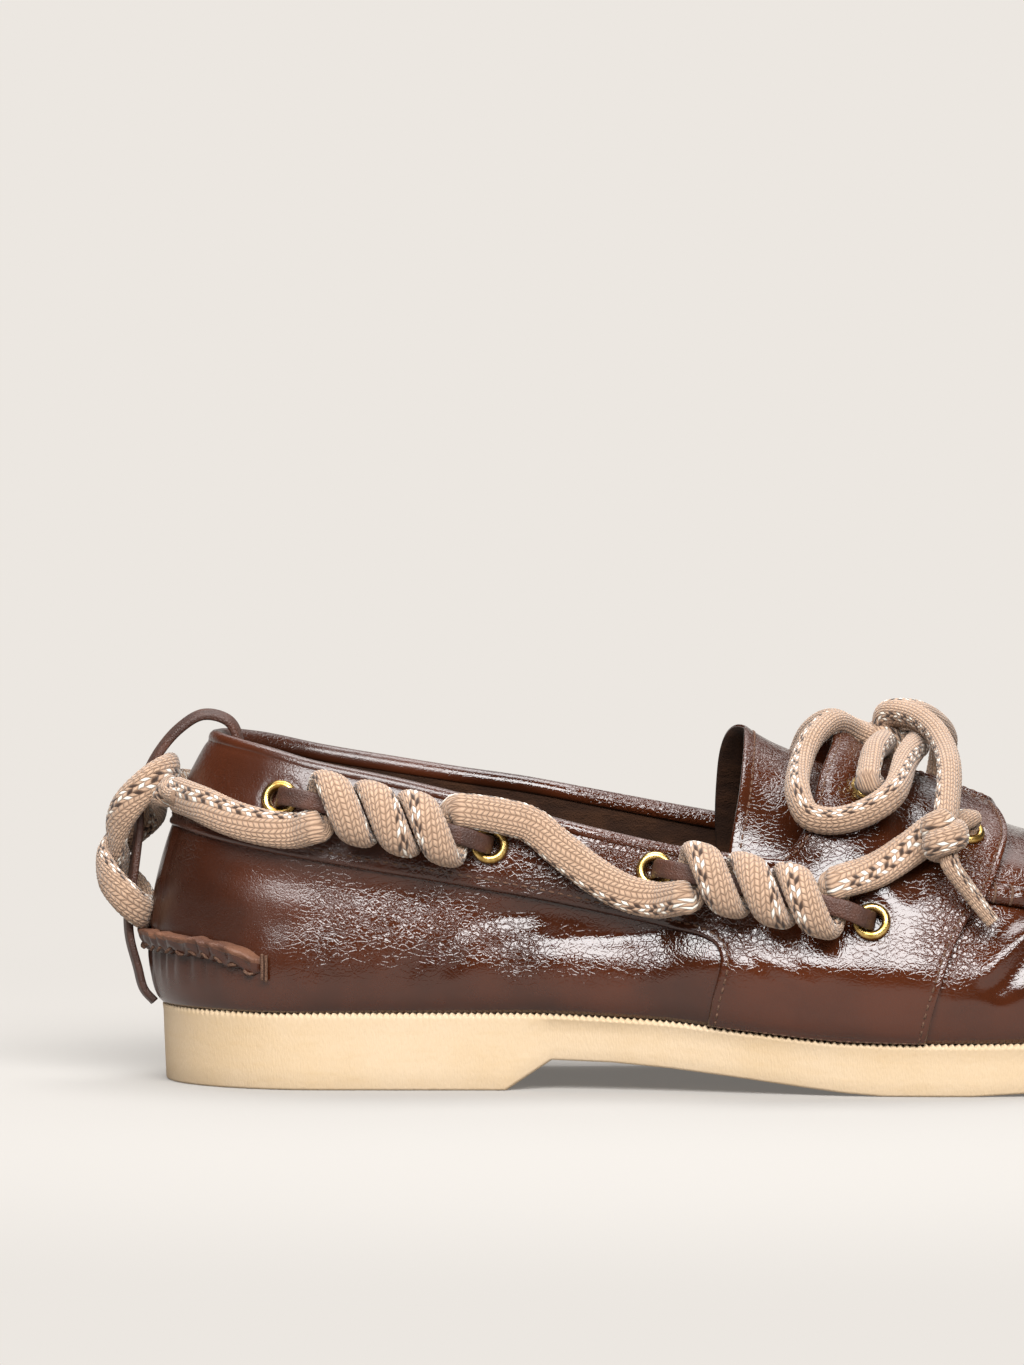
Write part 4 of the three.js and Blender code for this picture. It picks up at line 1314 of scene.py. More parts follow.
@dataclass(frozen=True)
class BraidedCord(Finish):
    """Braided cord with a flecked stripe along two edges."""

    name: str = "braided_cord"
    sand: str = "#bd9f86"
    # Dark yarn tone; also the colour of the painted shade in the gaps between stitches.
    dark_yarn_and_gap_shade: str = "#644a37"
    white: str = "#ddd6ca"
    brown: str = "#2e2018"
    columns: int = 24
    stitch: float = 1.25
    slant: float = 0.6
    stripe: int = 3

    def shade(self, graph: ShaderGraph) -> Sock:
        """Braid stitches in the cord's own length and girth, with painted shade in the gaps between them.

        Args:
            graph: Graph to add to.

        Returns:
            The shader.
        """
        place = graph.place()
        wound = graph.node("ShaderNodeUVMap", {"uv_map": "braid"})
        length = graph.axis(wound, "X") * (10.0 / self.stitch)
        girth = graph.axis(wound, "Y") * float(self.columns)
        column = girth.floor()
        across = girth.fraction() - 0.5
        lean = 1.0 - (column % 2.0) * 2.0
        run = length + across * lean * self.slant
        row = run.floor()
        along = run.fraction() - 0.5
        pad = (1.0 - (abs(across) * 2.0) ** 2.4) * (1.0 - (abs(along) * 2.0) ** 4.0)
        fibre = graph.noise(place, 5200.0, 3.0)
        yarn = graph.noise(place, 900.0, 2.0)
        in_stripe = (column % (self.columns / 2.0)) < float(self.stripe)
        checked = ((row + column) % 2.0) < 0.5
        dark_row = ((row * 0.5).floor() + column) % 2.0
        fleck = graph.mix(dark_row, tint(self.white), tint(self.brown))
        plain = graph.mix(yarn * 0.5 + fibre * 0.25, tint(self.sand), tint(self.dark_yarn_and_gap_shade))
        coloured = graph.mix(in_stripe * checked, plain, fleck)
        # Painted shade: the gaps between the braid's stitches are darkened toward the dark tone, where shade
        # falls.
        painted_gap_shade = (1.0 - pad) * 0.8
        return graph.node(PRINCIPLED, None, {
            "Base Color": graph.mix(painted_gap_shade, coloured, tint(self.dark_yarn_and_gap_shade)),
            "Roughness": 0.78 + fibre * 0.18,
            "Specular IOR Level": 0.25,
            "Sheen Weight": 0.25,
            "Normal": graph.bump(pad + fibre * 0.35, 0.00022),
        })


@dataclass(frozen=True)
class Thread(Finish):
    """Waxed sewing thread."""

    name: str = "waxed_thread"
    dark: str = "#38231a"
    pale: str = "#654c3d"

    def shade(self, graph: ShaderGraph) -> Sock:
        """Twisted thread in two tones.

        Args:
            graph: Graph to add to.

        Returns:
            The shader.
        """
        place = graph.place()
        twist = graph.noise(place, 3800.0, 2.0)
        return graph.node(PRINCIPLED, None, {
            "Base Color": graph.mix(twist.smooth(0.3, 0.7), tint(self.dark), tint(self.pale)),
            "Roughness": 0.75 + twist * 0.2,
            "Specular IOR Level": 0.2,
            "Normal": graph.bump(twist, 0.00012),
        })


@dataclass(frozen=True)
class StudioPaper(Finish):
    """Pale sweep: lit paper round the shoe that turns into an even glow further off."""

    name: str = "studio_paper"
    tone: str = "#ece7e1"
    paper: float = 0.405
    dull: float = 0.8
    near: float = 0.13
    far: float = 0.42
    least: float = 0.17

    def shade(self, graph: ShaderGraph) -> Sock:
        """Matt paper close by, glowing paper beyond.

        Args:
            graph: Graph to add to.

        Returns:
            The shader.
        """
        place = graph.place()
        reach = graph.node("ShaderNodeVectorMath", {"operation": "LENGTH"}, {0: place}, "Value")
        speck = graph.noise(place, 900.0, 2.0)
        tone = tint(self.tone)
        shares = (self.paper, self.paper * self.dull)
        lit, dull = ((*(part * share for part in tone[:3]), 1.0) for share in shares)
        matt = {"Base Color": graph.mix(speck * 0.1, lit, dull), "Roughness": 1.0, "Specular IOR Level": 0.0}
        glow = {"Base Color": (0.0, 0.0, 0.0, 1.0), "Specular IOR Level": 0.0, "Emission Strength": 1.0}
        glow["Emission Color"] = tone
        paper, lamp = (graph.node(PRINCIPLED, None, inputs) for inputs in (matt, glow))
        share = self.least + reach.smooth(self.near, self.far) * (1.0 - self.least)
        return graph.node("ShaderNodeMixShader", None, {0: share, 1: paper, 2: lamp})


PATENT = PatentLeather()
CUT_LEATHER = CutLeather()
RAW_LEATHER = CutLeather("raw_edge", "#3b1d10", "#6b452f", 900.0, 0.55)
SUEDE = Suede()
RUBBER = SoleRubber()
BRASS = Brass()
CORD = BraidedCord()
THREAD = Thread()
PAPER = StudioPaper()


class Softbox(NamedTuple):
    """A square-edged studio light: place and aim in metres, size and power."""

    name: str
    place: Triple
    aim: Triple
    size: Pair
    power: float


def facing(way: Vector) -> Euler:
    """Turn that points a camera or a light along a way."""
    return way.to_track_quat("-Z", "Y").to_euler()


@dataclass
class Studio:
    """Camera at the photograph's angle, soft light and a pale sweep."""

    workshop: Workshop
    frame_width: float = 230.1
    frame_centre: Triple = (79.6, -30.0, 92.1)
    distance: float = 2200.0
    fall: float = 0.061
    sensor: float = 36.0
    sweep_front: float = -9.0
    sweep_back: float = 9.0
    sweep_round: float = 1.2
    sweep_height: float = 1.7
    sweep_half: float = 14.0
    softboxes: tuple[Softbox, ...] = (
        Softbox("softbox_front", (0.1, -1.74, 1.46), (0.0, 0.0, 0.04), (2.6, 1.1), 152.0),
        Softbox("softbox_back", (0.3, 1.9, 1.7), (0.0, 0.0, 0.04), (2.4, 1.2), 14.0),
        Softbox("softbox_top", (-0.1, 0.35, 1.7), (0.0, 0.0, 0.03), (1.4, 0.9), 36.0),
    )
    sky: str = "#3d3b39"

    def build(self) -> None:
        """Sets up camera, lights, sky and sweep."""
        self.build_camera()
        for box in self.softboxes:
            self.build_light(box)
        self.build_sky()
        self.build_sweep()
        bpy.context.scene.view_settings.view_transform = "Standard"
        LOG.info("studio: camera, %d softboxes and sweep", len(self.softboxes))

    def build_camera(self) -> None:
        """Places the long lens level with the photograph's view."""
        data = bpy.data.cameras.new("camera")
        data.sensor_fit = "HORIZONTAL"
        data.sensor_width = self.sensor
        data.lens = self.sensor * self.distance / self.frame_width
        data.clip_end = 100.0
        camera = add_object("camera", data)
        aim = Vector(self.workshop.metres(np.array(self.frame_centre)))
        back = Vector((0.0, -1.0, self.fall)).normalized()
        camera.location = aim + back * self.distance * MM
        camera.rotation_euler = facing(-back)
        bpy.context.scene.camera = camera

    def build_light(self, box: Softbox) -> None:
        """Hangs one softbox.

        Args:
            box: The softbox.
        """
        data = bpy.data.lights.new(box.name, "AREA")
        data.shape = "RECTANGLE"
        data.size, data.size_y = box.size
        data.energy = box.power
        light = add_object(box.name, data)
        light.location = box.place
        light.rotation_euler = facing(Vector(box.aim) - Vector(box.place))

    def build_sky(self) -> None:
        """A dim room round the set."""
        world = bpy.data.worlds.new("studio")
        world.use_nodes = True
        bpy.context.scene.world = world
        graph = ShaderGraph(world.node_tree)
        room = graph.node("ShaderNodeBackground", None, {"Color": tint(self.sky), "Strength": 1.0})
        graph.finish(room, "ShaderNodeOutputWorld")

    def build_sweep(self) -> None:
        """Lays the floor that curves up behind the shoe."""
        turn = np.linspace(0, QUARTER_TURN, 24)
        flat = np.array([[self.sweep_front, 0.0], [0.0, 0.0]])
        cove = np.stack([np.sin(turn), 1 - np.cos(turn)], -1) * self.sweep_round + (self.sweep_back, 0.0)
        wall = np.array([[self.sweep_back + self.sweep_round, self.sweep_height]])
        profile = np.vstack([flat, cove, wall])
        points = [(x, y, z) for y, z in profile for x in (-self.sweep_half, self.sweep_half)]
        mesh = bpy.data.meshes.new("sweep")
        mesh.from_pydata(points, [], grid_faces(len(profile), 2).tolist())
        mesh.polygons.foreach_set("use_smooth", [True] * len(mesh.polygons))
        mesh.materials.append(PAPER.material)
        sweep = add_object("sweep", mesh)


@dataclass
class Saddlery:
    """Places on and off the outer face of the collar band and its flaps."""

    form: FootForm
    overlay: float = 1.3
    flap_lift: float = 5.0
    thong_stand_off: float = 7.0

    @property
    def face(self) -> float:
        """Height of the saddle's outer face above the form."""
        return self.form.gap + self.overlay

    def off(self, x: float, z: float, side: Side, clear: float) -> tuple[Array, Array]:
        """A point square off the saddle, with its outward direction."""
        spot, normal = self.form.surface(x, z, side, self.face, self.flap_lift)
        return spot + normal * clear, normal

    def eyelet(self, name: str, side: Side, clear: float) -> tuple[Array, Array]:
        """A point on an eyelet's axis, with its outward direction."""
        place = next(e for e in EYELETS if e.name == name)
        return self.off(place.x, place.z, side, clear)

    def row(self, row: Free | Clear, side: Side) -> Array:
        """A table row as a point.

        Args:
            row: A free point, or a place straight out from the saddle.
            side: Which side.

        Returns:
            The point.
        """
        if isinstance(row, Free):
            return np.array(row, float)
        spot, normal = self.form.surface(row.x, row.z, side, self.face, self.flap_lift)
        return spot + np.array([0.0, row.clear / normal[1], 0.0])

    def thong_line(self, thong: ThongSpan, side: Side) -> Callable[[float], Array]:
        """The straight line of a thong between its two eyelets.

        Args:
            thong: The thong.
            side: Which side.

        Returns:
            A function from x to the line's point there.
        """
        start = self.eyelet(thong.start, side, self.thong_stand_off)[0]
        end = self.eyelet(thong.end, side, self.thong_stand_off)[0]
        places = {e.name: e.x for e in EYELETS}
        low, high = places[thong.start], places[thong.end]
        return lambda x: start + (end - start) * (x - low) / (high - low)

    @staticmethod
    def spokes(normal: Array, count: int) -> Array:
        """Directions round the axis of a hole.

        Args:
            normal: The axis.
            count: Number of directions.

        Returns:
            Unit vectors, evenly spread.
        """
        turn = 2 * math.pi * np.arange(count)[:, None] / count
        across = unit(np.cross(normal, [0.0, 0.0, 1.0]))
        return np.cos(turn) * across + np.sin(turn) * np.cross(across, normal)


@dataclass
class Part:
    """A sub-assembly of the shoe: where it is made and what it is fitted to."""

    workshop: Workshop
    saddlery: Saddlery

    @property
    def form(self) -> FootForm:
        """The form that the leather is cut from."""
        return self.saddlery.form


@dataclass(frozen=True)
class Braider:
    """Braids cord along a line."""

    columns: int = CORD.columns
    samples: int = 2
    stitch: float = CORD.stitch
    slant: float = CORD.slant
    step: float = 0.4
    relief: float = 0.2
    squareness: float = 2.3
    stripe_turn: float = CORD.stripe / CORD.columns / 2
    sway: float = 0.17
    sway_length: float = 24.0

    def braid(
        self, line: Array, thin: Array, width: Array | float, thickness: Array | float, twist: float
    ) -> Shape:
        """Cord with raised stitches.

        Args:
            line: Evenly spaced points.
            thin: Direction of the cord's thickness at each point.
            width: Width, one or one for each point.
            thickness: Thickness likewise.
            twist: Turns of the braid for each millimetre.

        Returns:
            A closed shape, with length in centimetres and girth as its uv.
        """
        count = len(line)
        length = arc_length(line)[:, None]
        around = self.columns * self.samples
        share = np.arange(around + 1) / around
        girth = share + self.stripe_turn + twist * length + self.sway * np.cos(length / self.sway_length)
        column = girth * self.columns
        across = column % 1.0 - 0.5
        lean = 1 - 2 * (np.floor(column) % 2)
        along = (length / self.stitch + across * lean * self.slant) % 1.0 - 0.5
        pad = (1 - np.abs(2 * across) ** 3) * (1 - np.abs(2 * along) ** 4)
        swell = self.relief * (pad - 0.5)
        turn = 2 * math.pi * share
        power = 2 / self.squareness
        flat_x = np.sign(np.cos(turn)) * np.abs(np.cos(turn)) ** power
        flat_y = np.sign(np.sin(turn)) * np.abs(np.sin(turn)) ** power
        half_width = np.broadcast_to(width, count)[:, None] / 2 + swell
        half_thickness = np.broadcast_to(thickness, count)[:, None] / 2 + swell
        section = np.stack([half_width * flat_x, half_thickness * flat_y], -1)[:, :-1]
        shape = swept(line, thin, section)
        shape.uv = self.wound(girth, length[:, 0], count, around)
        return shape

    def wound(self, girth: Array, length: Array, count: int, around: int) -> Array:
        """Length and girth at each corner of a swept cord's faces.

        Args:
            girth: Girth at each point, the seam twice.
            length: Length at each ring.
            count: Number of rings.
            around: Points in a ring.

        Returns:
            Two numbers for each corner, in the order of the faces.
        """
        rings = np.stack([np.broadcast_to(length[:, None] / 10, girth.shape), girth], -1)
        quads = np.stack([rings[:-1, :-1], rings[:-1, 1:], rings[1:, 1:], rings[1:, :-1]], 2).reshape(-1, 2)
        first = rings[0, :around][::-1]
        last = rings[-1, :around]
        return np.vstack([quads, first, last])


class Wrap(NamedTuple):
    """Turns of a knot, the radius of the cord's centre line in them and the advance of each."""

    turns: float
    radius: float
    pitch: float


@dataclass
class Bow(Part):
    """Knot, loops and knotted ends of the cord over the tongue."""

    braider: Braider = Braider()
    diameter: float = 5.6
    width: float = 6.2
    thickness: float = 5.2
    wrap_flat: float = 0.86
    tip_widths: Pair = (4.4, 3.1)
    tip_thicknesses: Pair = (3.4, 2.7)
    knot_wrap: Wrap = Wrap(1.9, 3.6, 4.4)
    knot_axis: Triple = (1.0, 0.15, 0.35)
    end_wrap: Wrap = Wrap(1.7, 3.2, 4.3)
    end_lean: Triple = (0.0, 2.5, 0.0)
    flat_way: Triple = (0.3, 1.0, 0.2)
    tip_flat_way: Triple = (0.0, 1.0, 0.4)
    wrap_way: Triple = (0.0, 1.0, 0.3)
    wrap_samples: int = 120
    eyelet_depths: Pair = (-3.0, 1.8)
    buried: float = 0.6
    twist: float = 0.0035

    def build(self) -> None:
        """Makes every cord of the bow."""
        centre = np.array(KNOT)
        axis = np.array(self.knot_axis)
        knot = self.build_wrap("bow_centre_knot", centre, axis, "bow_knot", self.knot_wrap)
        for side in Side:
            label = side.label
            eyelet = [self.saddlery.eyelet("flap_rear", side, depth)[0] for depth in self.eyelet_depths]
            strand_line = self.line(BOW_STRANDS[side], side, centre, eyelet)
            strand = self.build_cord(f"lace_strand_{label}", strand_line, f"bow_strand_{label}")
            loop_line = self.line(BOW_LOOPS[side], side, centre)
            loop = self.build_cord(f"lace_loop_{label}", loop_line, f"bow_loop_{label}")
            middle = self.saddlery.row(END_KNOTS[side], side)
            end_line = self.line(BOW_ENDS[side], side, middle)
            end = self.build_cord(f"lace_end_{label}", end_line, f"bow_end_{label}")
            axis = self.saddlery.row(BOW_TIPS[side][0], side) - end_line[-1] + np.array(self.end_lean)
            name, node = f"lace_end_knot_{label}", f"bow_end_knot_{label}"
            end_knot = self.build_wrap(name, middle, axis, node, self.end_wrap)
            tip = self.build_tip(side, middle)
            self.declare(loop, loop_line, "object", [knot, strand])
            self.declare(end, end_line, "knot", [end_knot, tip])

    def bury(self, spot: Array, knot: Array) -> Array:
        """A point inside a knot, on the way from a spot to its middle."""
        return spot + (knot - spot) * self.buried

    def line(
        self, rows: Sequence[Free | Clear], side: Side, last: Array, lead: Sequence[Array] | None = None
    ) -> Array:
        """The centre line of a stretch of the bow.

        Args:
            rows: Rows of its table.
            side: Which side.
            last: Middle of the knot that it runs into.
            lead: Points before the rows; left out where it leaves the centre knot.

        Returns:
            Evenly spaced points, with the ends at knots buried in them.
        """
        points = [self.saddlery.row(row, side) for row in rows]
        lead = lead or [self.bury(points[0], np.array(KNOT))]
        return smooth_path([*lead, *points, self.bury(points[-1], last)], self.braider.step)

    def build_cord(self, name: str, line: Array, node: str) -> bpy.types.Object:
        """Braids one stretch of the bow.

        Args:
            name: The piece's name.
            line: Its centre line.
            node: Solid that it stands for.

        Returns:
            The piece.
        """
        thin = carried_normals(line, np.array(self.flat_way))
        shape = self.braider.braid(line, thin, self.width, self.thickness, self.twist)
        return self.workshop.piece(name, shape, [CORD], "cord", [node])

    def build_wrap(self, name: str, middle: Array, axis: Array, node: str, wrap: Wrap) -> bpy.types.Object:
        """Winds the turns of a knot.

        Args:
            name: The piece's name.
            middle: Middle of the knot.
            axis: Direction that the turns wind round.
            node: Solid that it stands for.
            wrap: The turns.

        Returns:
            The piece.
        """
        heading = unit(axis)
        across = unit(np.cross(heading, self.wrap_way))
        other = np.cross(heading, across)
        share = np.linspace(-0.5, 0.5, self.wrap_samples)[:, None]
        turn = 2 * math.pi * wrap.turns * share
        reach = wrap.radius * np.minimum(1, 3.4 * (0.56 - np.abs(share)))
        wound = middle + reach * (np.cos(turn) * across + np.sin(turn) * other)
        line = resample(wound + share * wrap.pitch * wrap.turns * heading, self.braider.step)
        thin = line - middle - ((line - middle) @ heading)[:, None] * heading
        shape = self.braider.braid(line, thin, self.width, self.thickness * self.wrap_flat, self.twist)
        return self.workshop.piece(name, shape, [CORD], "cord", [node])

    def build_tip(self, side: Side, knot: Array) -> bpy.types.Object:
        """The thin end that hangs from an end knot.

        Args:
            side: Which side.
            knot: Middle of the end knot.

        Returns:
            The piece.
        """
        rows = [self.saddlery.row(row, side) for row in BOW_TIPS[side]]
        line = smooth_path([(knot + rows[0]) / 2, *rows], self.braider.step)
        width, thickness = (np.linspace(*ends, len(line)) for ends in (self.tip_widths, self.tip_thicknesses))
        thin = carried_normals(line, np.array(self.tip_flat_way))
        shape = self.braider.braid(line, thin, width, thickness, 0.0)
        return self.workshop.piece(f"lace_tip_{side.label}", shape, [CORD], "cord", [f"bow_tip_{side.label}"])

    def declare(
        self, piece: bpy.types.Object, line: Array, far_end: str, others: list[bpy.types.Object]
    ) -> None:
        """Converts a stretch's centre line to metres and reads its first point; nothing is kept.

        Args:
            piece: Not used.
            line: Its centre line.
            far_end: Not used.
            others: Not used.
        """
        path = self.workshop.metres(line)
        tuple(path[0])


@dataclass
class SideCords(Part):
    """Cord that runs round the collar, winds on the thongs and passes through the eyelets."""

    braider: Braider = Braider()
    width: float = 8.2
    coil_width: float = 7.7
    thickness: float = 4.5
    rest_clear: float = 2.9
    coil_turns: float = 3.5
    coil_rise: float = 5.4
    coil_depth: float = 3.55
    coil_steps: int = 20
    coil_lean: float = 2.1
    eyelet_width: float = 5.0
    eyelet_clears: Pair = (3.4, 0.6)
    eyelet_lean: Triple = (-1.0, 0.0, 0.4)
    heel_width: float = 7.4
    heel_thickness: float = 4.2
    heel_out: float = -32.0
    crossing_width: float = 6.0
    crossing_thickness: float = 3.6
    crossing_rises: Pair = (2.1, 0.1)
    crossing_lean: Triple = (0.35, 0.0, 1.0)
    crossing_x: float = 171.0
    under_flap: float = -3.7
    strap_middle_x: float = -5.5
    ease: float = 3.2
    ease_steps: int = 24
    twist: float = 0.0022

    def build(self) -> None:
        """Makes the cords of both sides, the heel and the crossing."""
        for side in Side:
            self.build_side(side)
        self.build_heel()
        self.build_crossing()

    def coil(self, thong: ThongSpan, side: Side) -> tuple[list[Array], list[Array]]:
        """The cord's turns round a thong.

        Args:
            thong: The thong and the stretch that is wound.
            side: Which side.

        Returns:
            Points and the cord's flat side at each, left open where it comes and goes.
        """
        line = self.saddlery.thong_line(thong, side)
        axis = unit(line(1.0) - line(0.0))
        count = round(self.coil_turns * self.coil_steps)
        points, outward = [], []
        for i in range(count + 1):
            x = thong.coil_from + (thong.coil_to - thong.coil_from) * i / count
            turn = -math.pi + 2 * math.pi * self.coil_turns * i / count
            middle = line(x - self.coil_lean * math.cos(turn))
            out = self.saddlery.off(middle[0], middle[2], side, 0.0)[1]
            up = np.cross(out, axis) * -side.value
            rise, depth = math.cos(turn), math.sin(turn)
            points.append(middle + up * self.coil_rise * rise + out * self.coil_depth * depth)
            inward = -unit(up * rise / self.coil_rise + out * depth / self.coil_depth)
            loose = min(i, count - i) < self.coil_steps / 4
            outward.append(np.full(3, np.nan) if loose else inward)
        return points, outward

    def build_side(self, side: Side) -> None:
        """Braids the cord along one side.

        Args:
            side: Which side.
        """
        start = np.array([CORD_START.x, CORD_START.y * -side.value, CORD_START.z])
        points, outward, widths = [start], [np.array([self.heel_out, start[1], 0.0])], [self.width]
        stretches = (CORD_TO_REAR_COIL, THONGS[0], CORD_BETWEEN_COILS, THONGS[1], CORD_TO_FLAP)
        for stretch in stretches:
            if isinstance(stretch, ThongSpan):
                turns, out = self.coil(stretch, side)
                widths += [self.coil_width] * len(turns)
            else:
                clears = [getattr(spot, "clear", self.rest_clear) for spot in stretch]
                spots = [self.saddlery.off(s.x, s.z, side, clear) for s, clear in zip(stretch, clears)]
                turns, out = map(list, zip(*spots))
                widths += [self.width] * len(turns)
            points += turns
            outward += out
        for clear in (*self.eyelet_clears, self.under_flap):
            spot, normal = self.saddlery.eyelet("flap_front", side, clear)
            points.append(spot)
            outward.append(unit(normal + np.array(self.eyelet_lean)))
            widths.append(self.eyelet_width)
        line = smooth_path(points, self.braider.step)
        thin, width = self.follow(points, line, outward, widths)
        shape = self.braider.braid(line, thin, width, self.thickness, self.twist)
        self.workshop.piece(f"side_cord_{side.label}", shape, [CORD], "cord", [f"cord_{side.label}"])

    def follow(
        self, points: list[Array], line: Array, outward: list[Array], widths: list[float]
    ) -> tuple[Array, Array]:
        """Spreads directions and widths given at some points over a whole line.

        Args:
            points: Points that the line passes through.
            line: The line.
            outward: Direction at each point.
            widths: Width at each point.

        Returns:
            Direction and width at each place of the line.
        """
        tree = KDTree(len(line))
        for i, spot in enumerate(line):
            tree.insert(spot, i)
        tree.balance()
        marks = np.maximum.accumulate([tree.find(p)[1] for p in points]).astype(float)
        marks += np.arange(len(marks)) * 1e-6
        at = np.arange(len(line))
        rows = np.column_stack([np.array(outward), widths])
        known = [np.isfinite(rows[:, k]) for k in range(4)]
        spread = np.stack([np.interp(at, marks[known[k]], rows[known[k], k]) for k in range(4)], -1)
        reach = np.arange(-self.ease_steps, self.ease_steps + 1) * self.braider.step
        weight = np.exp(-((reach / self.ease) ** 2))
        padded = np.pad(spread, ((self.ease_steps,) * 2, (0, 0)), mode="edge")
        eased = np.stack([np.convolve(padded[:, k], weight / weight.sum(), "valid") for k in range(4)], -1)
        return eased[:, :3], eased[:, 3]

    def build_heel(self) -> None:
        """Braids the cord that winds down the heel strap and back up."""
        line = smooth_path(HEEL_NEAR + HEEL_FAR, self.braider.step)
        out = np.stack([line[:, 0] - self.strap_middle_x, line[:, 1], np.zeros(len(line))], -1)
        shape = self.braider.braid(line, out, self.heel_width, self.heel_thickness, self.twist)
        self.workshop.piece("heel_cord", shape, [CORD], "cord", ["cord_heel"])

    def build_crossing(self) -> None:
        """Braids the two strands that cross over the tongue under the flaps."""
        strands = []
        for side, other, rise in zip(Side, reversed(Side), self.crossing_rises):
            start = self.saddlery.eyelet("flap_front", side, self.under_flap)[0]
            end = self.saddlery.eyelet("flap_rear", other, self.under_flap)[0]
            middle = self.form.point(self.crossing_x, QUARTER_TURN, 1, rise)
            line = smooth_path([start, middle, end], self.braider.step)
            thin = np.tile(self.crossing_lean, (len(line), 1))
            strand = self.braider.braid(line, thin, self.crossing_width, self.crossing_thickness, self.twist)
            strands.append(strand)
        self.workshop.piece("lace_crossing", joined(strands), [CORD], "cord", ["cord_crossing"])


@dataclass(frozen=True)
class Stitcher:
    """Sews rows of separate stitches; profile is share of the length, girth and rise of each ring."""

    length: float = 1.55
    pitch: float = 2.1
    thickness: float = 0.56
    sides: int = 6
    profile: tuple[Triple, ...] = (
        (0.0, 0.25, -0.3), (0.12, 0.85, 0.05), (0.35, 1.0, 0.16),
        (0.65, 1.0, 0.16), (0.88, 0.85, 0.05), (1.0, 0.25, -0.3),
    )

    def row(self, line: Array, normal: Array) -> Shape:
        """Stitches along a seam.

        Args:
            line: Points of the seam, on the leather.
            normal: Outward direction at each point.

        Returns:
            All the stitches as one shape.
        """
        along = arc_length(line)
        starts = np.arange(self.pitch / 2, along[-1] - self.length, self.pitch)
        share, girth, rise = np.array(self.profile).T
        places = starts[:, None] + share * self.length
        spots = interpolated(places, along, line)
        out = unit(interpolated(places, along, normal))
        wide = unit(np.cross(unit(np.gradient(spots, axis=1)), out))
        turn = 2 * math.pi * np.arange(self.sides)[:, None] / self.sides
        middle = spots + out * (rise * self.thickness)[:, None]
        spokes = np.cos(turn) * out[:, :, None] + np.sin(turn) * wide[:, :, None]
        rings = middle[:, :, None] + (girth * self.thickness / 2)[:, None, None] * spokes
        return joined([tube(stitch, Caps.FLAT) for stitch in rings])


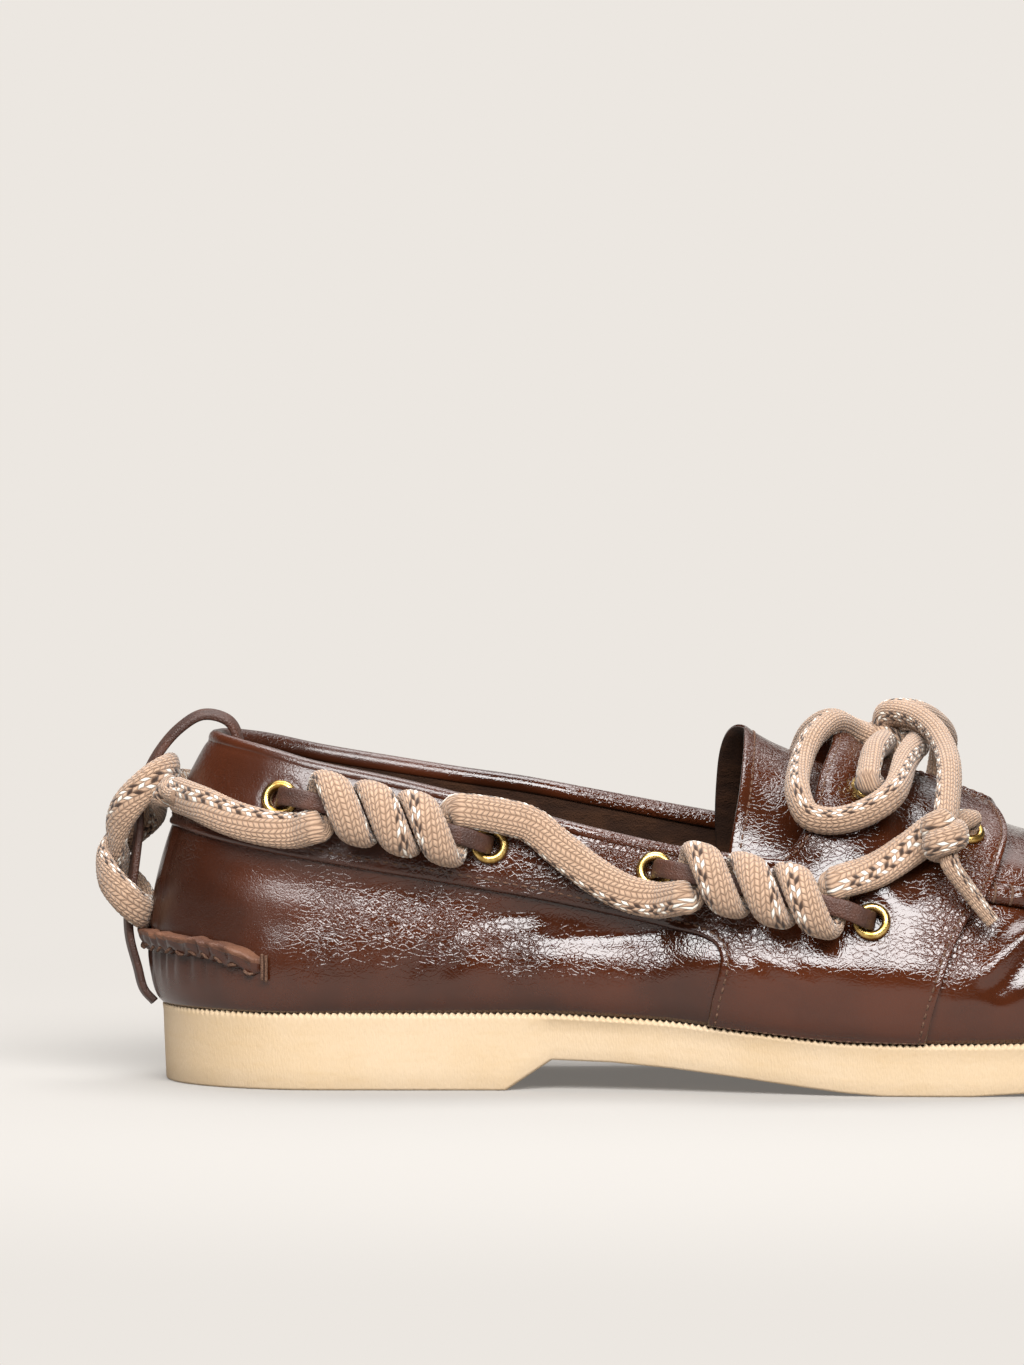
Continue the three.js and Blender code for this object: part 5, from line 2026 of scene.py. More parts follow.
@dataclass
class Panel:
    """A leather panel cut from a flat pattern, with rounded edges and a sewn groove."""

    form: FootForm
    outline: Array
    holes: list[Array]
    base: float
    thickness: float
    lift: float = 0.0
    spacing: float = 1.05
    edge: float = 0.75
    groove_at: float = 1.7
    groove_depth: float = 0.22
    groove_width: float = 0.45
    border_step: float = 0.7
    hole_step: float = 0.5
    row_height: float = 0.866
    insets: tuple[float, ...] = (0.22, 0.6, 1.1, 1.7, 2.2, 2.7, 3.4)

    def build(self) -> Shape:
        """Fills the pattern with triangles and lifts it onto the form.

        Returns:
            The panel as a closed shape.
        """
        loops = [self.even_loop(self.outline, self.spacing * self.border_step)]
        loops += [self.even_loop(hole, self.spacing * self.hole_step) for hole in self.holes]
        border = np.vstack(loops)
        inner = self.fill(loops, border)
        flat = np.vstack([border, inner])
        links, base = [], 0
        for loop in loops:
            numbers = np.arange(len(loop))
            links += np.stack([base + numbers, base + (numbers + 1) % len(loop)], -1).tolist()
            base += len(loop)
        found = delaunay_2d_cdt([Vector(p) for p in flat], links, [], 0, 1e-6, False)
        flat = np.array([p[:] for p in found[0]])
        triangles = np.array(found[2])
        triangles = triangles[self.within(flat[triangles].mean(1), loops)]
        return self.raise_up(flat, triangles, loops)

    @staticmethod
    def even_loop(loop: Array, step: float) -> Array:
        """A closed outline with evenly spaced points."""
        return resample(np.vstack([loop, loop[:1]]), step)[:-1]

    @staticmethod
    def within(spots: Array, loops: Sequence[Array]) -> Array:
        """Which spots lie inside the outline and outside its holes.

        Args:
            spots: Flat points.
            loops: Outline and holes.

        Returns:
            A truth value for each spot.
        """
        inside = np.zeros(len(spots), bool)
        for loop in loops:
            for a, b in zip(loop, np.roll(loop, -1, axis=0)):
                straddles = (a[1] > spots[:, 1]) != (b[1] > spots[:, 1])
                if straddles.any():
                    cross = (b[0] - a[0]) * (spots[:, 1] - a[1]) / (b[1] - a[1] + 1e-15) + a[0]
                    inside ^= straddles & (spots[:, 0] < cross)
        return inside

    @staticmethod
    def distances(spots: Array, targets: Array) -> Array:
        """Distance from each spot to the nearest target.

        Args:
            spots: Points.
            targets: Points to measure to.

        Returns:
            Distances.
        """
        tree = KDTree(len(targets))
        for i, target in enumerate(targets):
            tree.insert((*target, 0.0)[:3], i)
        tree.balance()
        return np.array([tree.find((*spot, 0.0)[:3])[2] for spot in spots])

    def fill(self, loops: Sequence[Array], border: Array) -> Array:
        """Points inside the pattern: rows beside its edges, then an even field.

        Args:
            loops: Outline and holes.
            border: All their points.

        Returns:
            Flat points.
        """
        rows = []
        for loop in loops:
            run = unit(np.roll(loop, -1, axis=0) - np.roll(loop, 1, axis=0))
            side = np.stack([-run[:, 1], run[:, 0]], -1)
            for inset in self.insets:
                for sign in (1, -1):
                    beside = loop + side * inset * sign
                    keep = self.within(beside, loops)
                    keep[keep] = self.distances(beside[keep], border) > inset * 0.9
                    rows.append(beside[keep])
        low, high = border.min(0), border.max(0)
        xs = np.arange(low[0], high[0], self.spacing)
        ys = np.arange(low[1], high[1], self.spacing * self.row_height)
        field_x, field_y = np.meshgrid(xs, ys)
        field_x = field_x + (np.arange(len(ys)) % 2 * self.spacing / 2)[:, None]
        even = np.stack([field_x.ravel(), field_y.ravel()], -1)
        even = even[self.within(even, loops)]
        even = even[self.distances(even, border) > self.insets[-1] + self.spacing * 0.5]
        return np.vstack([*rows, even])

    def raise_up(self, flat: Array, triangles: Array, loops: Sequence[Array]) -> Shape:
        """Lifts the filled pattern onto the form.

        Args:
            flat: Flat points, the border first.
            triangles: Their triangles.
            loops: Outline and holes.

        Returns:
            The closed panel.
        """
        station, angle, side = self.form.unflatten(flat)
        under = self.form.point(station, angle, side, self.base, self.lift)
        count = sum(len(loop) for loop in loops)
        reach = self.distances(under, under[:count])
        rounded = np.sqrt(np.maximum(self.edge**2 - np.maximum(self.edge - reach, 0) ** 2, 0))
        height = self.thickness - self.edge + rounded
        height -= self.groove_depth * np.exp(-(((reach - self.groove_at) / self.groove_width) ** 2))
        fold = fold_height(under[:, 0], under[:, 2], side)
        bottom = self.form.point(station, angle, side, self.base + fold, self.lift)
        top = self.form.point(station, angle, side, self.base + height + fold, self.lift)
        faces = triangles.tolist() + (triangles[:, ::-1] + len(flat)).tolist()
        base = 0
        for loop in loops:
            for i in range(len(loop)):
                a, b = base + i, base + (i + 1) % len(loop)
                faces.append([a, b, b + len(flat), a + len(flat)])
            base += len(loop)
        return Shape(np.vstack([top, bottom]), faces)


@dataclass
class Saddle(Part):
    """Collar band, saddle and flaps: one panel that runs round the heel."""

    stitcher: Stitcher = Stitcher()
    slot_half: float = 8.5
    slot_middle_x: float = 168.5
    hole: float = 3.0
    seam_inset: float = 1.7
    seam_depth: float = 0.2
    corner: float = 3.2
    seam_step: float = 0.8
    top_points: int = 40
    rim_points: int = 150
    hole_points: int = 24

    def build(self) -> None:
        """Cuts the panel and sews its edges."""
        form = self.form
        edges = {side: self.outline(side) for side in Side}
        lateral, medial = (np.vstack(edges[side]) for side in Side)
        whole = np.vstack([lateral, medial[-2:0:-1]])
        holes = [self.hole_outline(place, side) for side in Side for place in EYELETS]
        panel = Panel(form, whole, holes, form.gap, self.saddlery.overlay, self.saddlery.flap_lift)
        self.workshop.piece("saddle_panel", panel.build(), [PATENT], "leather", ["saddle"])
        rows = [self.sew(np.vstack(edges[side][:-1]), side) for side in Side]
        self.workshop.piece("saddle_stitching", joined(rows), [THREAD], "leather")

    def flat(self, line: Array, side: Side) -> Array:
        """Side-view places as flat pattern points.

        Args:
            line: Places, x and z.
            side: Which side.

        Returns:
            Flat points.
        """
        form, face, lift = self.form, self.saddlery.face, self.saddlery.flap_lift
        station, angle = form.locate(line[:, 0], line[:, 1], side.value, face, lift)
        return form.flatten(station, angle, side.value)

    def slot_angle(self, station: Array, side: Side) -> Array:
        """Profile angle of the flap's top edge.

        Args:
            station: Places along the form.
            side: Which side.

        Returns:
            Angles.
        """
        form = self.form
        middle = form.point(self.slot_middle_x, QUARTER_TURN, side.value)[1]
        edge = middle + side.value * self.slot_half
        ends = form.ends(station, side.value, self.saddlery.face, self.saddlery.flap_lift)
        rest = (ends.crest[..., 1] - edge) / (ends.crest[..., 1] - ends.widest[..., 1])
        return np.arccos(np.clip(rest, 0, 1) ** (ends.fullness / 2))

    def outline(self, side: Side) -> list[Array]:
        """Edges of one half of the panel as flat pattern points.

        Args:
            side: Which side.

        Returns:
            Lower edge from the heel, front edge, top of the flap, rear of the flap and collar rim.
        """
        form = self.form
        low = self.flat(smooth_path(BAND_EDGE, self.seam_step), side)
        low = np.vstack([[[0.0, low[0, 1]]], low])
        front = self.flat(smooth_path(SADDLE_FRONT, self.seam_step), side)
        raised = form.rim[side](COLLAR_FRONT_X) - form.rim[Side.LATERAL](COLLAR_FRONT_X)
        steps = len(FLAP_REAR) + 1
        rear = [Spot(s.x, s.z + raised * i / steps) for i, s in enumerate(FLAP_REAR, 1)]
        rear = self.flat(smooth_path(rear, self.seam_step), side)
        front, front_x = self.below_slot(front, side)
        rear, rear_x = self.below_slot(rear, side)
        stations = np.linspace(front_x[-1] - self.corner, rear_x[0] + self.corner, self.top_points)
        top = form.flatten(stations, self.slot_angle(stations, side), side.value)
        top = np.vstack([self.rounded(front[-1], top[0]), top, self.rounded(rear[0], top[-1])[::-1]])
        xs = np.linspace(COLLAR_FRONT_X, 0.0, self.rim_points)
        station, angle = form.locate(xs, form.rim[side](xs), side.value, self.saddlery.face)
        keep = station > form.heel_x + 0.02
        rim = form.flatten(station[keep], angle[keep], side.value)
        rim = np.vstack([rim, [[0.0, rim[-1, 1]]]])
        return [low, front, top, rear, rim]

    def below_slot(self, edge: Array, side: Side) -> tuple[Array, Array]:
        """The part of an edge that stays a corner's radius below the flap's top.

        Args:
            edge: Flat points.
            side: Which side.

        Returns:
            Those points and their stations.
        """
        form = self.form
        station = form.station_at(np.abs(edge[:, 0]), side.value)
        top = form.flatten(station, self.slot_angle(station, side), side.value)
        keep = edge[:, 1] < top[:, 1] - self.corner
        return edge[keep], station[keep]

    @staticmethod
    def rounded(upright: Array, level: Array) -> Array:
        """A round corner between two edges.

        Args:
            upright: End of the upright edge.
            level: End of the level edge.

        Returns:
            Points between them.
        """
        share = np.linspace(0, 1, 7)[1:-1, None]
        corner = np.array([upright[0], level[1]])
        return upright * (1 - share) ** 2 + corner * 2 * share * (1 - share) + level * share**2

    def hole_outline(self, place: EyeletPlace, side: Side) -> Array:
        """An eyelet's hole.

        Args:
            place: The eyelet.
            side: Which side.

        Returns:
            Flat points.
        """
        _, normal = self.saddlery.off(place.x, place.z, side, 0.0)
        spokes = self.saddlery.spokes(normal, self.hole_points)
        return self.flat(np.array([place.x, place.z]) + self.hole * spokes[:, ::2], side)

    def sew(self, seam: Array, side: Side) -> Shape:
        """Stitches beside an edge of the panel.

        Args:
            seam: The edge as flat points.
            side: Which side.

        Returns:
            The stitches.
        """
        seam = resample(seam, self.seam_step)
        run = unit(np.gradient(seam, axis=0))
        inward = np.stack([-run[:, 1], run[:, 0]], -1) * side.value
        flat = seam + inward * self.seam_inset
        flat = flat[Panel.distances(flat, seam) > self.seam_inset * 0.93]
        form = self.form
        angle = form.unflatten(flat)[1]
        station = form.station_at(np.abs(flat[:, 0]), side.value)
        face, lift = self.saddlery.face - self.seam_depth, self.saddlery.flap_lift
        under = form.point(station, angle, side.value, face, lift)
        fold = fold_height(under[:, 0], under[:, 2], side.value)
        line = form.point(station, angle, side.value, face + fold, lift)
        out = form.point(station, angle, side.value, face + fold + 1.0, lift) - line
        return self.stitcher.row(line, unit(out))


@dataclass
class Upper(Part):
    """Vamp and quarters in one hollow shell, lined, with a rolled collar."""

    wall: float = 2.0
    spacing: float = 1.15
    lower_rows: int = 9
    upper_rows: int = 66
    inner_rows: int = 34
    backstay_half: float = 8.5
    backstay_height: float = 0.7
    gather: float = 0.45
    gather_pitch: float = 4.3
    backstay_from: Pair = (34.0, 36.0)
    backstay_seam: float = 2.0
    gather_end: Pair = (-40.0, -30.0)
    collar_end_x: float = 143.0
    collar_spacing: float = 0.9
    collar_section: tuple[Pair, ...] = (
        (1.3, -2.2), (1.78, -1.5), (1.95, -0.7), (1.75, 0.1), (1.1, 0.7), (0.1, 0.95), (-0.9, 0.75),
        (-1.8, 0.3), (-2.4, -0.4), (-2.65, -1.2), (-2.6, -1.9), (-2.35, -2.4), (-1.9, -2.6), (-1.2, -2.4),
    )

    def build(self) -> None:
        """Makes the shell and its collar."""
        self.build_shell()
        self.build_collar()

    def top_angle(self, station: Array, side: Side) -> Array:
        """Profile angle of the top edge."""
        rim = self.form.rim[side]
        return self.form.angle_where(lambda p: rim(p[..., 0]) - p[..., 2], station, side.value)

    def relief(self, spot: Array, station: Array, side: Side) -> Array:
        """Height of folds, heel strip and gathers over the plain form.

        Args:
            spot: Points of the plain form.
            station: Their stations.
            side: Which side.

        Returns:
            Heights.
        """
        x, z = spot[..., 0], spot[..., 2]
        arc = self.form.arc_at(station, side.value)
        fold = fold_height(x, z, side.value)
        half = self.backstay_half
        above = smooth_step(z, *self.backstay_from)
        strip = smooth_step(-arc, -half - 0.5, -half + 0.5) * above
        seam = np.exp(-(((arc - half + self.backstay_seam) / 0.5) ** 2)) * above
        lip = side_curve(HEEL_LIP_LOW)(x)
        below = smooth_step(z, lip - 8.0, lip - 0.5) * smooth_step(-z, -lip - 1.5, -lip + 0.3)
        puckers = gathered(arc, self.gather_pitch) * below * smooth_step(-arc, *self.gather_end)
        return fold + self.backstay_height * strip - 0.2 * seam + self.gather * puckers

    def build_shell(self) -> None:
        """Makes the outside in glazed leather and the inside in suede."""
        points, faces, finish = [], [], []
        stations = self.form.even_stations(self.spacing)
        lower = np.linspace(-QUARTER_TURN, 0, self.lower_rows)[:-1]
        base = 0
        for side in Side:
            top = self.top_angle(stations, side)
            closed_over = top > QUARTER_TURN - 1e-6
            outer_share = np.linspace(0, 1, self.upper_rows)[:, None]
            inner_share = np.linspace(1, 0, self.inner_rows)[:, None]
            outer = np.vstack([np.tile(lower[:, None], len(stations)), outer_share * top])
            inner = np.vstack([inner_share * top, np.tile(lower[::-2, None], len(stations))])
            plain = self.form.point(stations[None], outer, side.value)
            fade = smooth_step(top[None] - outer, 0.0, 0.05) + closed_over
            raised = self.relief(plain, stations[None], side) * np.clip(fade, 0, 1)
            outside = self.form.point(stations[None], outer, side.value, raised)
            inside = self.form.point(stations[None], inner, side.value, -self.wall)
            rows = len(outer) + len(inner)
            points.append(np.vstack([outside, inside]).reshape(-1, 3))
            made = grid_faces(rows, len(stations), base=base)
            row = (made[:, 0] - base) // len(stations)
            column = (made[:, 0] - base) % len(stations)
            beside = np.minimum(column + 1, len(top) - 1)
            crest = (row == len(outer) - 1) & closed_over[column] & closed_over[beside]
            faces += made[~crest].tolist()
            finish.append((row >= len(outer) - 1)[~crest])
            edge = np.arange(len(stations) - 1)
            low = base + edge
            high = base + (rows - 1) * len(stations) + edge
            faces += np.stack([high, high + 1, low + 1, low], -1).tolist()
            finish.append(np.ones(len(edge), bool))
            base += rows * len(stations)
        shape = Shape(np.vstack(points), faces, finish=np.concatenate(finish), weld=True)
        self.workshop.piece("upper_shell", shape, [PATENT, SUEDE], "leather", ["upper"])

    def rim(self, side: Side) -> tuple[Array, Array, Array]:
        """The top edge of one side.

        Args:
            side: Which side.

        Returns:
            Points from the heel on, the way up the wall and the way out of it.
        """
        stations = self.form.even_stations(self.collar_spacing)
        angle = self.top_angle(stations, side)
        spot = self.form.point(stations, angle, side.value)
        keep = (spot[:, 0] < self.collar_end_x) & (angle < QUARTER_TURN - 0.01)
        stations, angle, spot = stations[keep], angle[keep], spot[keep]
        rise = unit(self.form.point(stations, angle + SMALL_TURN, side.value) - spot)
        grow = unit(self.form.point(stations, angle, side.value, 1.0) - spot)
        return spot, rise, square_to(grow, rise)

    def build_collar(self) -> None:
        """Rolls leather over the top edge."""
        path, rise, grow = (round_heel(*halves) for halves in zip(*map(self.rim, Side)))
        section = np.array(self.collar_section)
        rings = path[:, None] + section[:, :1] * grow[:, None] + section[:, 1:] * rise[:, None]
        self.workshop.piece("collar_roll", tube(rings, Caps.FLAT), [PATENT], "leather")


@dataclass
class Tongue(Part):
    """Tongue that stands up under the flaps, with a sewn rear edge."""

    stitcher: Stitcher = Stitcher()
    outside: float = -2.3
    thickness: float = 2.0
    low_z: float = 46.0
    front_x: float = 197.0
    flare: float = 1.4
    flare_reach: float = 9.0
    medial_reach: float = 4.5
    across: int = 60
    along: int = 70
    edge_shares: tuple[float, ...] = (0, 0.1, 0.3, 0.6, 1.0, 1.6, 2.1, 2.6, 3.1)
    field_shares: Pair = (3.9, 64.0)
    seam_inset: float = 2.6
    groove_depth: float = 0.18
    groove_width: float = 0.4
    rear_x: float = 128.0
    rounds: int = 12

    def build(self) -> None:
        """Makes the tongue and its seam."""
        reach = np.concatenate([self.edge_shares, np.linspace(*self.field_shares, self.along)])
        outer, inner = (np.vstack(halves) for halves in zip(*(self.half(side, reach) for side in Side)))
        shape = tube(np.concatenate([outer, inner[:, ::-1]], axis=1), Caps.STRIPS, weld=True)
        columns = len(reach)
        first = np.array([face[0] for face in shape.faces]) % (2 * columns)
        shape.finish = (first >= columns) & (first < 2 * columns - 1)
        self.workshop.piece("tongue_piece", shape, [PATENT, SUEDE], "leather", ["tongue"])
        at = int(np.argmin(np.abs(reach - self.seam_inset)))
        stitches = self.stitcher.row(outer[:, at], unit(outer[:, at] - inner[:, at]))
        self.workshop.piece("tongue_stitching", stitches, [THREAD], "leather")

    def half(self, side: Side, reach: Array) -> tuple[Array, Array]:
        """One side of the tongue.

        Args:
            side: Which side.
            reach: Distances from the rear edge.

        Returns:
            Outer and inner face, in rows from the outer side's low edge to the inner side's.
        """
        up = np.linspace(0, 1, self.across)
        up = up if side is Side.LATERAL else up[::-1][1:]
        station = np.minimum(self.rear_stations(up, side)[:, None] + reach, self.front_x)
        angle = self.angles(up[:, None], station, side)
        radius = self.thickness / 2
        thick = np.sqrt(np.maximum(radius**2 - (radius - np.minimum(reach, radius)) ** 2, 0))
        curl = self.flare * np.maximum(1 - reach / self.flare_reach, 0) ** 2
        groove = self.groove_depth * np.exp(-(((reach - self.seam_inset) / self.groove_width) ** 2))
        middle = self.outside - radius + curl * np.sin(QUARTER_TURN * np.clip(up * 1.4, 0, 1))[:, None]
        outer = self.form.point(station, angle, side.value, middle + thick - groove)
        return outer, self.form.point(station, angle, side.value, middle - thick)

    def angles(self, up: Array, station: Array, side: Side) -> Array:
        """Profile angle at a share of the way from the low edge to the crest."""
        _, low = self.form.locate(station, np.full(station.shape, self.low_z), side.value, self.outside)
        return low + up * (QUARTER_TURN - low)

    def rear_stations(self, up: Array, side: Side) -> Array:
        """Stations of the rear edge.

        Args:
            up: Shares of the way from the low edge to the crest.
            side: Which side.

        Returns:
            Stations.
        """
        edge = Column([s.z for s in TONGUE_REAR], [s.x for s in TONGUE_REAR])
        station = np.full(len(up), self.rear_x)
        for _ in range(self.rounds):
            spot = self.form.point(station, self.angles(up, station, side), side.value, self.outside)
            station = station + 0.7 * (edge(spot[:, 2]) - spot[:, 0])
        reach = self.medial_reach * np.sin(math.pi * np.clip(up, 0, 1)) if side is Side.MEDIAL else 0.0
        return station - reach


@dataclass
class ToeApron(Part):
    """Apron over the toes and the gathered seam round it."""

    from_x: float = 177.0
    inset: float = 11.0
    height: float = 1.3
    puff: float = 0.5
    ridge_inset: float = 9.4
    ridge_half: float = 2.5
    ridge_height: float = 2.5
    gather: float = 0.4
    gather_pitch: float = 4.0
    spacing: float = 1.1
    rows: int = 44
    seam_spacing: float = 0.55
    ridge_points: int = 13
    stitch_points: int = 15
    stitch_ends: float = 0.12
    stitch_width: float = 0.7
    stitch_thickness: float = 0.6

    def build(self) -> None:
        """Makes apron, seam and stitches."""
        stations = self.form.even_stations(self.spacing, self.from_x)
        self.build_apron(stations)
        self.build_seam(self.form.even_stations(self.seam_spacing, self.from_x))

    def border(self, station: Array, side: Side, inset: float) -> Array:
        """Profile angle at which the outline, drawn in, is crossed.

        Args:
            station: Places along the form.
            side: Which side.
            inset: How far it is drawn in.

        Returns:
            Angles.
        """
        heel_x, toe_x = self.form.heel_x + inset, self.form.toe_x - inset
        swing_from, swing_to, swing = self.form.toe_swing

        def past(spot: Array) -> Array:
            """Distance outside the drawn-in outline.

            Args:
                spot: Points of the form.

            Returns:
                Distances, negative inside.
            """
            x = np.clip(spot[..., 0], heel_x, toe_x)
            middle = swing * smooth_step(x, swing_from, swing_to)
            edge = np.abs(self.form.outline_y(x, side.value, -inset, heel_x, toe_x) - middle)
            return np.abs(spot[..., 1] - middle) - edge + np.maximum(spot[..., 0] - toe_x, 0)

        return self.form.angle_where(past, station, side.value)

    def build_apron(self, stations: Array) -> None:
        """Lays the apron over the toe.

        Args:
            stations: Places along the form.
        """
        points, faces, base = [], [], 0
        share = np.linspace(0, 1, self.rows)[:, None]
        for side in Side:
            low = self.border(stations, side, self.inset)
            angle = low + share * (QUARTER_TURN - low)
            plain = self.form.point(stations[None], angle, side.value)
            puffed = self.puff * np.sin(np.clip(share * 3, 0, 1) * math.pi)
            base_offset = self.form.gap + fold_height(plain[..., 0], plain[..., 2], side.value) * (1 - share)
            top = self.form.point(stations[None], angle, side.value, base_offset + self.height + puffed)
            under = self.form.point(stations[None], angle, side.value, base_offset)
            points.append(np.vstack([under[::-1], top]).reshape(-1, 3))
            faces += grid_faces(2 * self.rows, len(stations), base=base).tolist()
            count = len(stations)
            for k in range(self.rows - 1):
                a, b = self.rows - 1 - k, self.rows + k
                faces.append([base + count * r for r in (a, a - 1, b + 1, b)])
            base += 2 * self.rows * count
        shape = Shape(np.vstack(points), faces, weld=True)
        self.workshop.piece("toe_apron", shape, [PATENT], "leather", ["apron"])

    def ridge(self, stations: Array, side: Side) -> tuple[Array, Array, Array]:
        """The seam on one side.

        Args:
            stations: Places along the form.
            side: Which side.

        Returns:
            Points towards the toe, the way out of the leather and the way to the apron.
        """
        angle = self.border(stations, side, self.ridge_inset)
        gap = self.form.gap
        spot = self.form.point(stations, angle, side.value, gap)
        out = unit(self.form.point(stations, angle, side.value, gap + 1.0) - spot)
        inward = unit(self.form.point(stations, angle + SMALL_TURN, side.value, gap) - spot)
        return spot, out, inward

    def build_seam(self, stations: Array) -> None:
        """Gathers the seam round the apron and sews over it.

        Args:
            stations: Places along the form.
        """
        halves = zip(*(self.ridge(stations, side) for side in Side))
        path, out, inward = (np.vstack([lateral, medial[-2::-1]]) for lateral, medial in halves)
        out = square_to(out, inward)
        along = arc_length(path)
        wave = np.cos(2 * math.pi * along / self.gather_pitch)[:, None, None]
        turn = np.linspace(0, math.pi, self.ridge_points)[:, None]
        height = np.sin(turn) * (self.ridge_height + self.gather * wave * np.sin(turn))
        rings = path[:, None] + np.cos(turn) * self.ridge_half * inward[:, None] + height * out[:, None]
        self.workshop.piece("toe_seam", tube(rings, Caps.FLAT), [PATENT], "leather", ["apron_seam"])
        bow = np.linspace(self.stitch_ends, math.pi - self.stitch_ends, self.stitch_points)[:, None]
        wide = np.cos(bow) * (self.ridge_half + 0.2)
        tall = np.sin(bow) * (self.ridge_height - self.gather + 0.25)
        section = rounded_bar(self.stitch_width, self.stitch_thickness, 8, 2.0)
        stitches = []
        for start in np.arange(self.gather_pitch / 2, along[-1] - 1, self.gather_pitch):
            i = int(np.searchsorted(along, start))
            spots = path[i] + wide * inward[i] + tall * out[i]
            thin = np.cross(np.gradient(spots, axis=0), np.cross(out[i], inward[i]))
            stitches.append(swept(spots, thin, section))
        self.workshop.piece("toe_stitching", joined(stitches), [THREAD], "leather")


@dataclass
class HeelSeam(Part):
    """Gathered lip of the heel seam with its stitches and tie bars."""

    height: float = 2.7
    gather: float = 0.5
    gather_pitch: float = 4.3
    low_wave: float = 0.6
    edge_wave: float = 0.3
    end_x: float = 24.4
    taper: float = 2.5
    columns: int = 130
    rows: int = 18
    raw_from: int = 11
    seam_row: int = 2
    profile: tuple[Pair, ...] = (
        (0, 0.0), (0.1, 0.42), (0.3, 0.62), (0.62, 0.8), (0.86, 1.0), (0.95, 0.86), (1.0, 0.0),
    )
    stitch_length: float = 2.7
    stitch_thickness: float = 0.8
    bar_insets: Pair = (1.0, 0.1)
    bar_offset: float = 1.9
    bar_points: int = 12
    bar_width: float = 0.75
    bar_thickness: float = 0.7

    def build(self) -> None:
        """Makes the lip, its stitches and its bars."""
        top, under, seam, out = (round_heel(*halves) for halves in zip(*map(self.half, Side)))
        shape = tube(np.concatenate([top, under[:, ::-1]], axis=1), Caps.STRIPS)
        first = np.array([face[0] for face in shape.faces]) % (2 * self.rows)
        shape.finish = (first >= self.raw_from) & (first < self.rows)
        self.workshop.piece("heel_lip", shape, [PATENT, RAW_LEATHER], "leather", ["heel_seam"])
        bars = [self.bar(self.end_x - inset, side) for side in Side for inset in self.bar_insets]
        stitcher = Stitcher(self.stitch_length, self.gather_pitch, self.stitch_thickness)
        sewing = [stitcher.row(seam, out), *bars]
        self.workshop.piece("heel_stitching", joined(sewing), [THREAD], "leather")

    def half(self, side: Side) -> tuple[Array, Array, Array, Array]:
        """The lip on one side.

        Args:
            side: Which side.

        Returns:
            Outer face, inner face, seam and the way out at the seam, from the heel on.
        """
        form = self.form
        low_of, top_of = side_curve(HEEL_LIP_LOW), side_curve(HEEL_LIP_TOP)
        share = np.linspace(0, 1, self.rows)
        first = form.locate(self.end_x, low_of(self.end_x), side.value)[0]
        arcs = np.linspace(0, float(form.arc_at(first, side.value)), self.columns)
        station = form.station_at(arcs, side.value)
        at = form.point(station, 0.0, side.value)[:, 0]
        wave = gathered(arcs, self.gather_pitch)
        low = low_of(at) + self.low_wave * wave
        high = top_of(at) + self.edge_wave * gathered(arcs + 1.7, self.gather_pitch * 2.3)
        z = low[:, None] + (high - low)[:, None] * share
        angle = form.locate(at[:, None], z, side.value)[1]
        taper = smooth_step(-arcs, -arcs[-1], -arcs[-1] + self.taper)[:, None]
        tall = self.height * Column(*zip(*self.profile))(share) * (0.35 + 0.65 * taper)
        tall = tall + self.gather * wave[:, None] * np.sin(math.pi * share) * taper
        top = form.point(station[:, None], angle, side.value, form.gap + np.maximum(tall, 0.0))
        under = form.point(station[:, None], angle, side.value, form.gap - 0.25)
        sewn_angle = angle[:, self.seam_row]
        sewn = form.point(station, sewn_angle, side.value, form.gap + 1.35)
        return top, under, sewn, unit(form.point(station, sewn_angle, side.value, 3.0) - sewn)

    def bar(self, x: float, side: Side) -> Shape:
        """A tie bar across an end of the lip.

        Args:
            x: Its place along the shoe.
            side: Which side.

        Returns:
            The bar.
        """
        low, high = side_curve(HEEL_LIP_LOW)(x) - 0.8, side_curve(HEEL_LIP_TOP)(x) + 0.6
        heights = np.linspace(low, high, self.bar_points)
        spots = [self.form.surface(x, z, side, self.bar_offset, 0.0) for z in heights]
        line, thin = (np.array(values) for values in zip(*spots))
        return swept(line, thin, rounded_bar(self.bar_width, self.bar_thickness, 8, 2.0))


@dataclass
class Eyelets(Part):
    """Brass eyelets set through the leather."""

    around: int = 48
    seat: float = 0.12
    profile: tuple[Pair, ...] = (
        (2.35, -2.6), (2.2, -0.4), (2.24, 0.4), (2.45, 0.9), (2.85, 1.24), (3.4, 1.3),
        (3.9, 1.04), (4.2, 0.55), (4.3, 0.05), (4.2, -0.12), (2.75, -0.12), (2.65, -2.6),
    )

    def build(self) -> None:
        """Makes every eyelet."""
        profile = np.array(self.profile)
        for side in Side:
            for place in EYELETS:
                middle, normal = self.saddlery.off(place.x, place.z, side, self.seat)
                spokes = self.saddlery.spokes(normal, self.around)
                rings = middle + profile[:, :1] * spokes[:, None] + profile[:, 1:] * normal
                shape = tube(np.concatenate([rings, rings[:1]]), weld=True)
                node = f"eyelet_{place.name}_{side.label}"
                self.workshop.piece(f"brass_{node}", shape, [BRASS], "brass", [node])


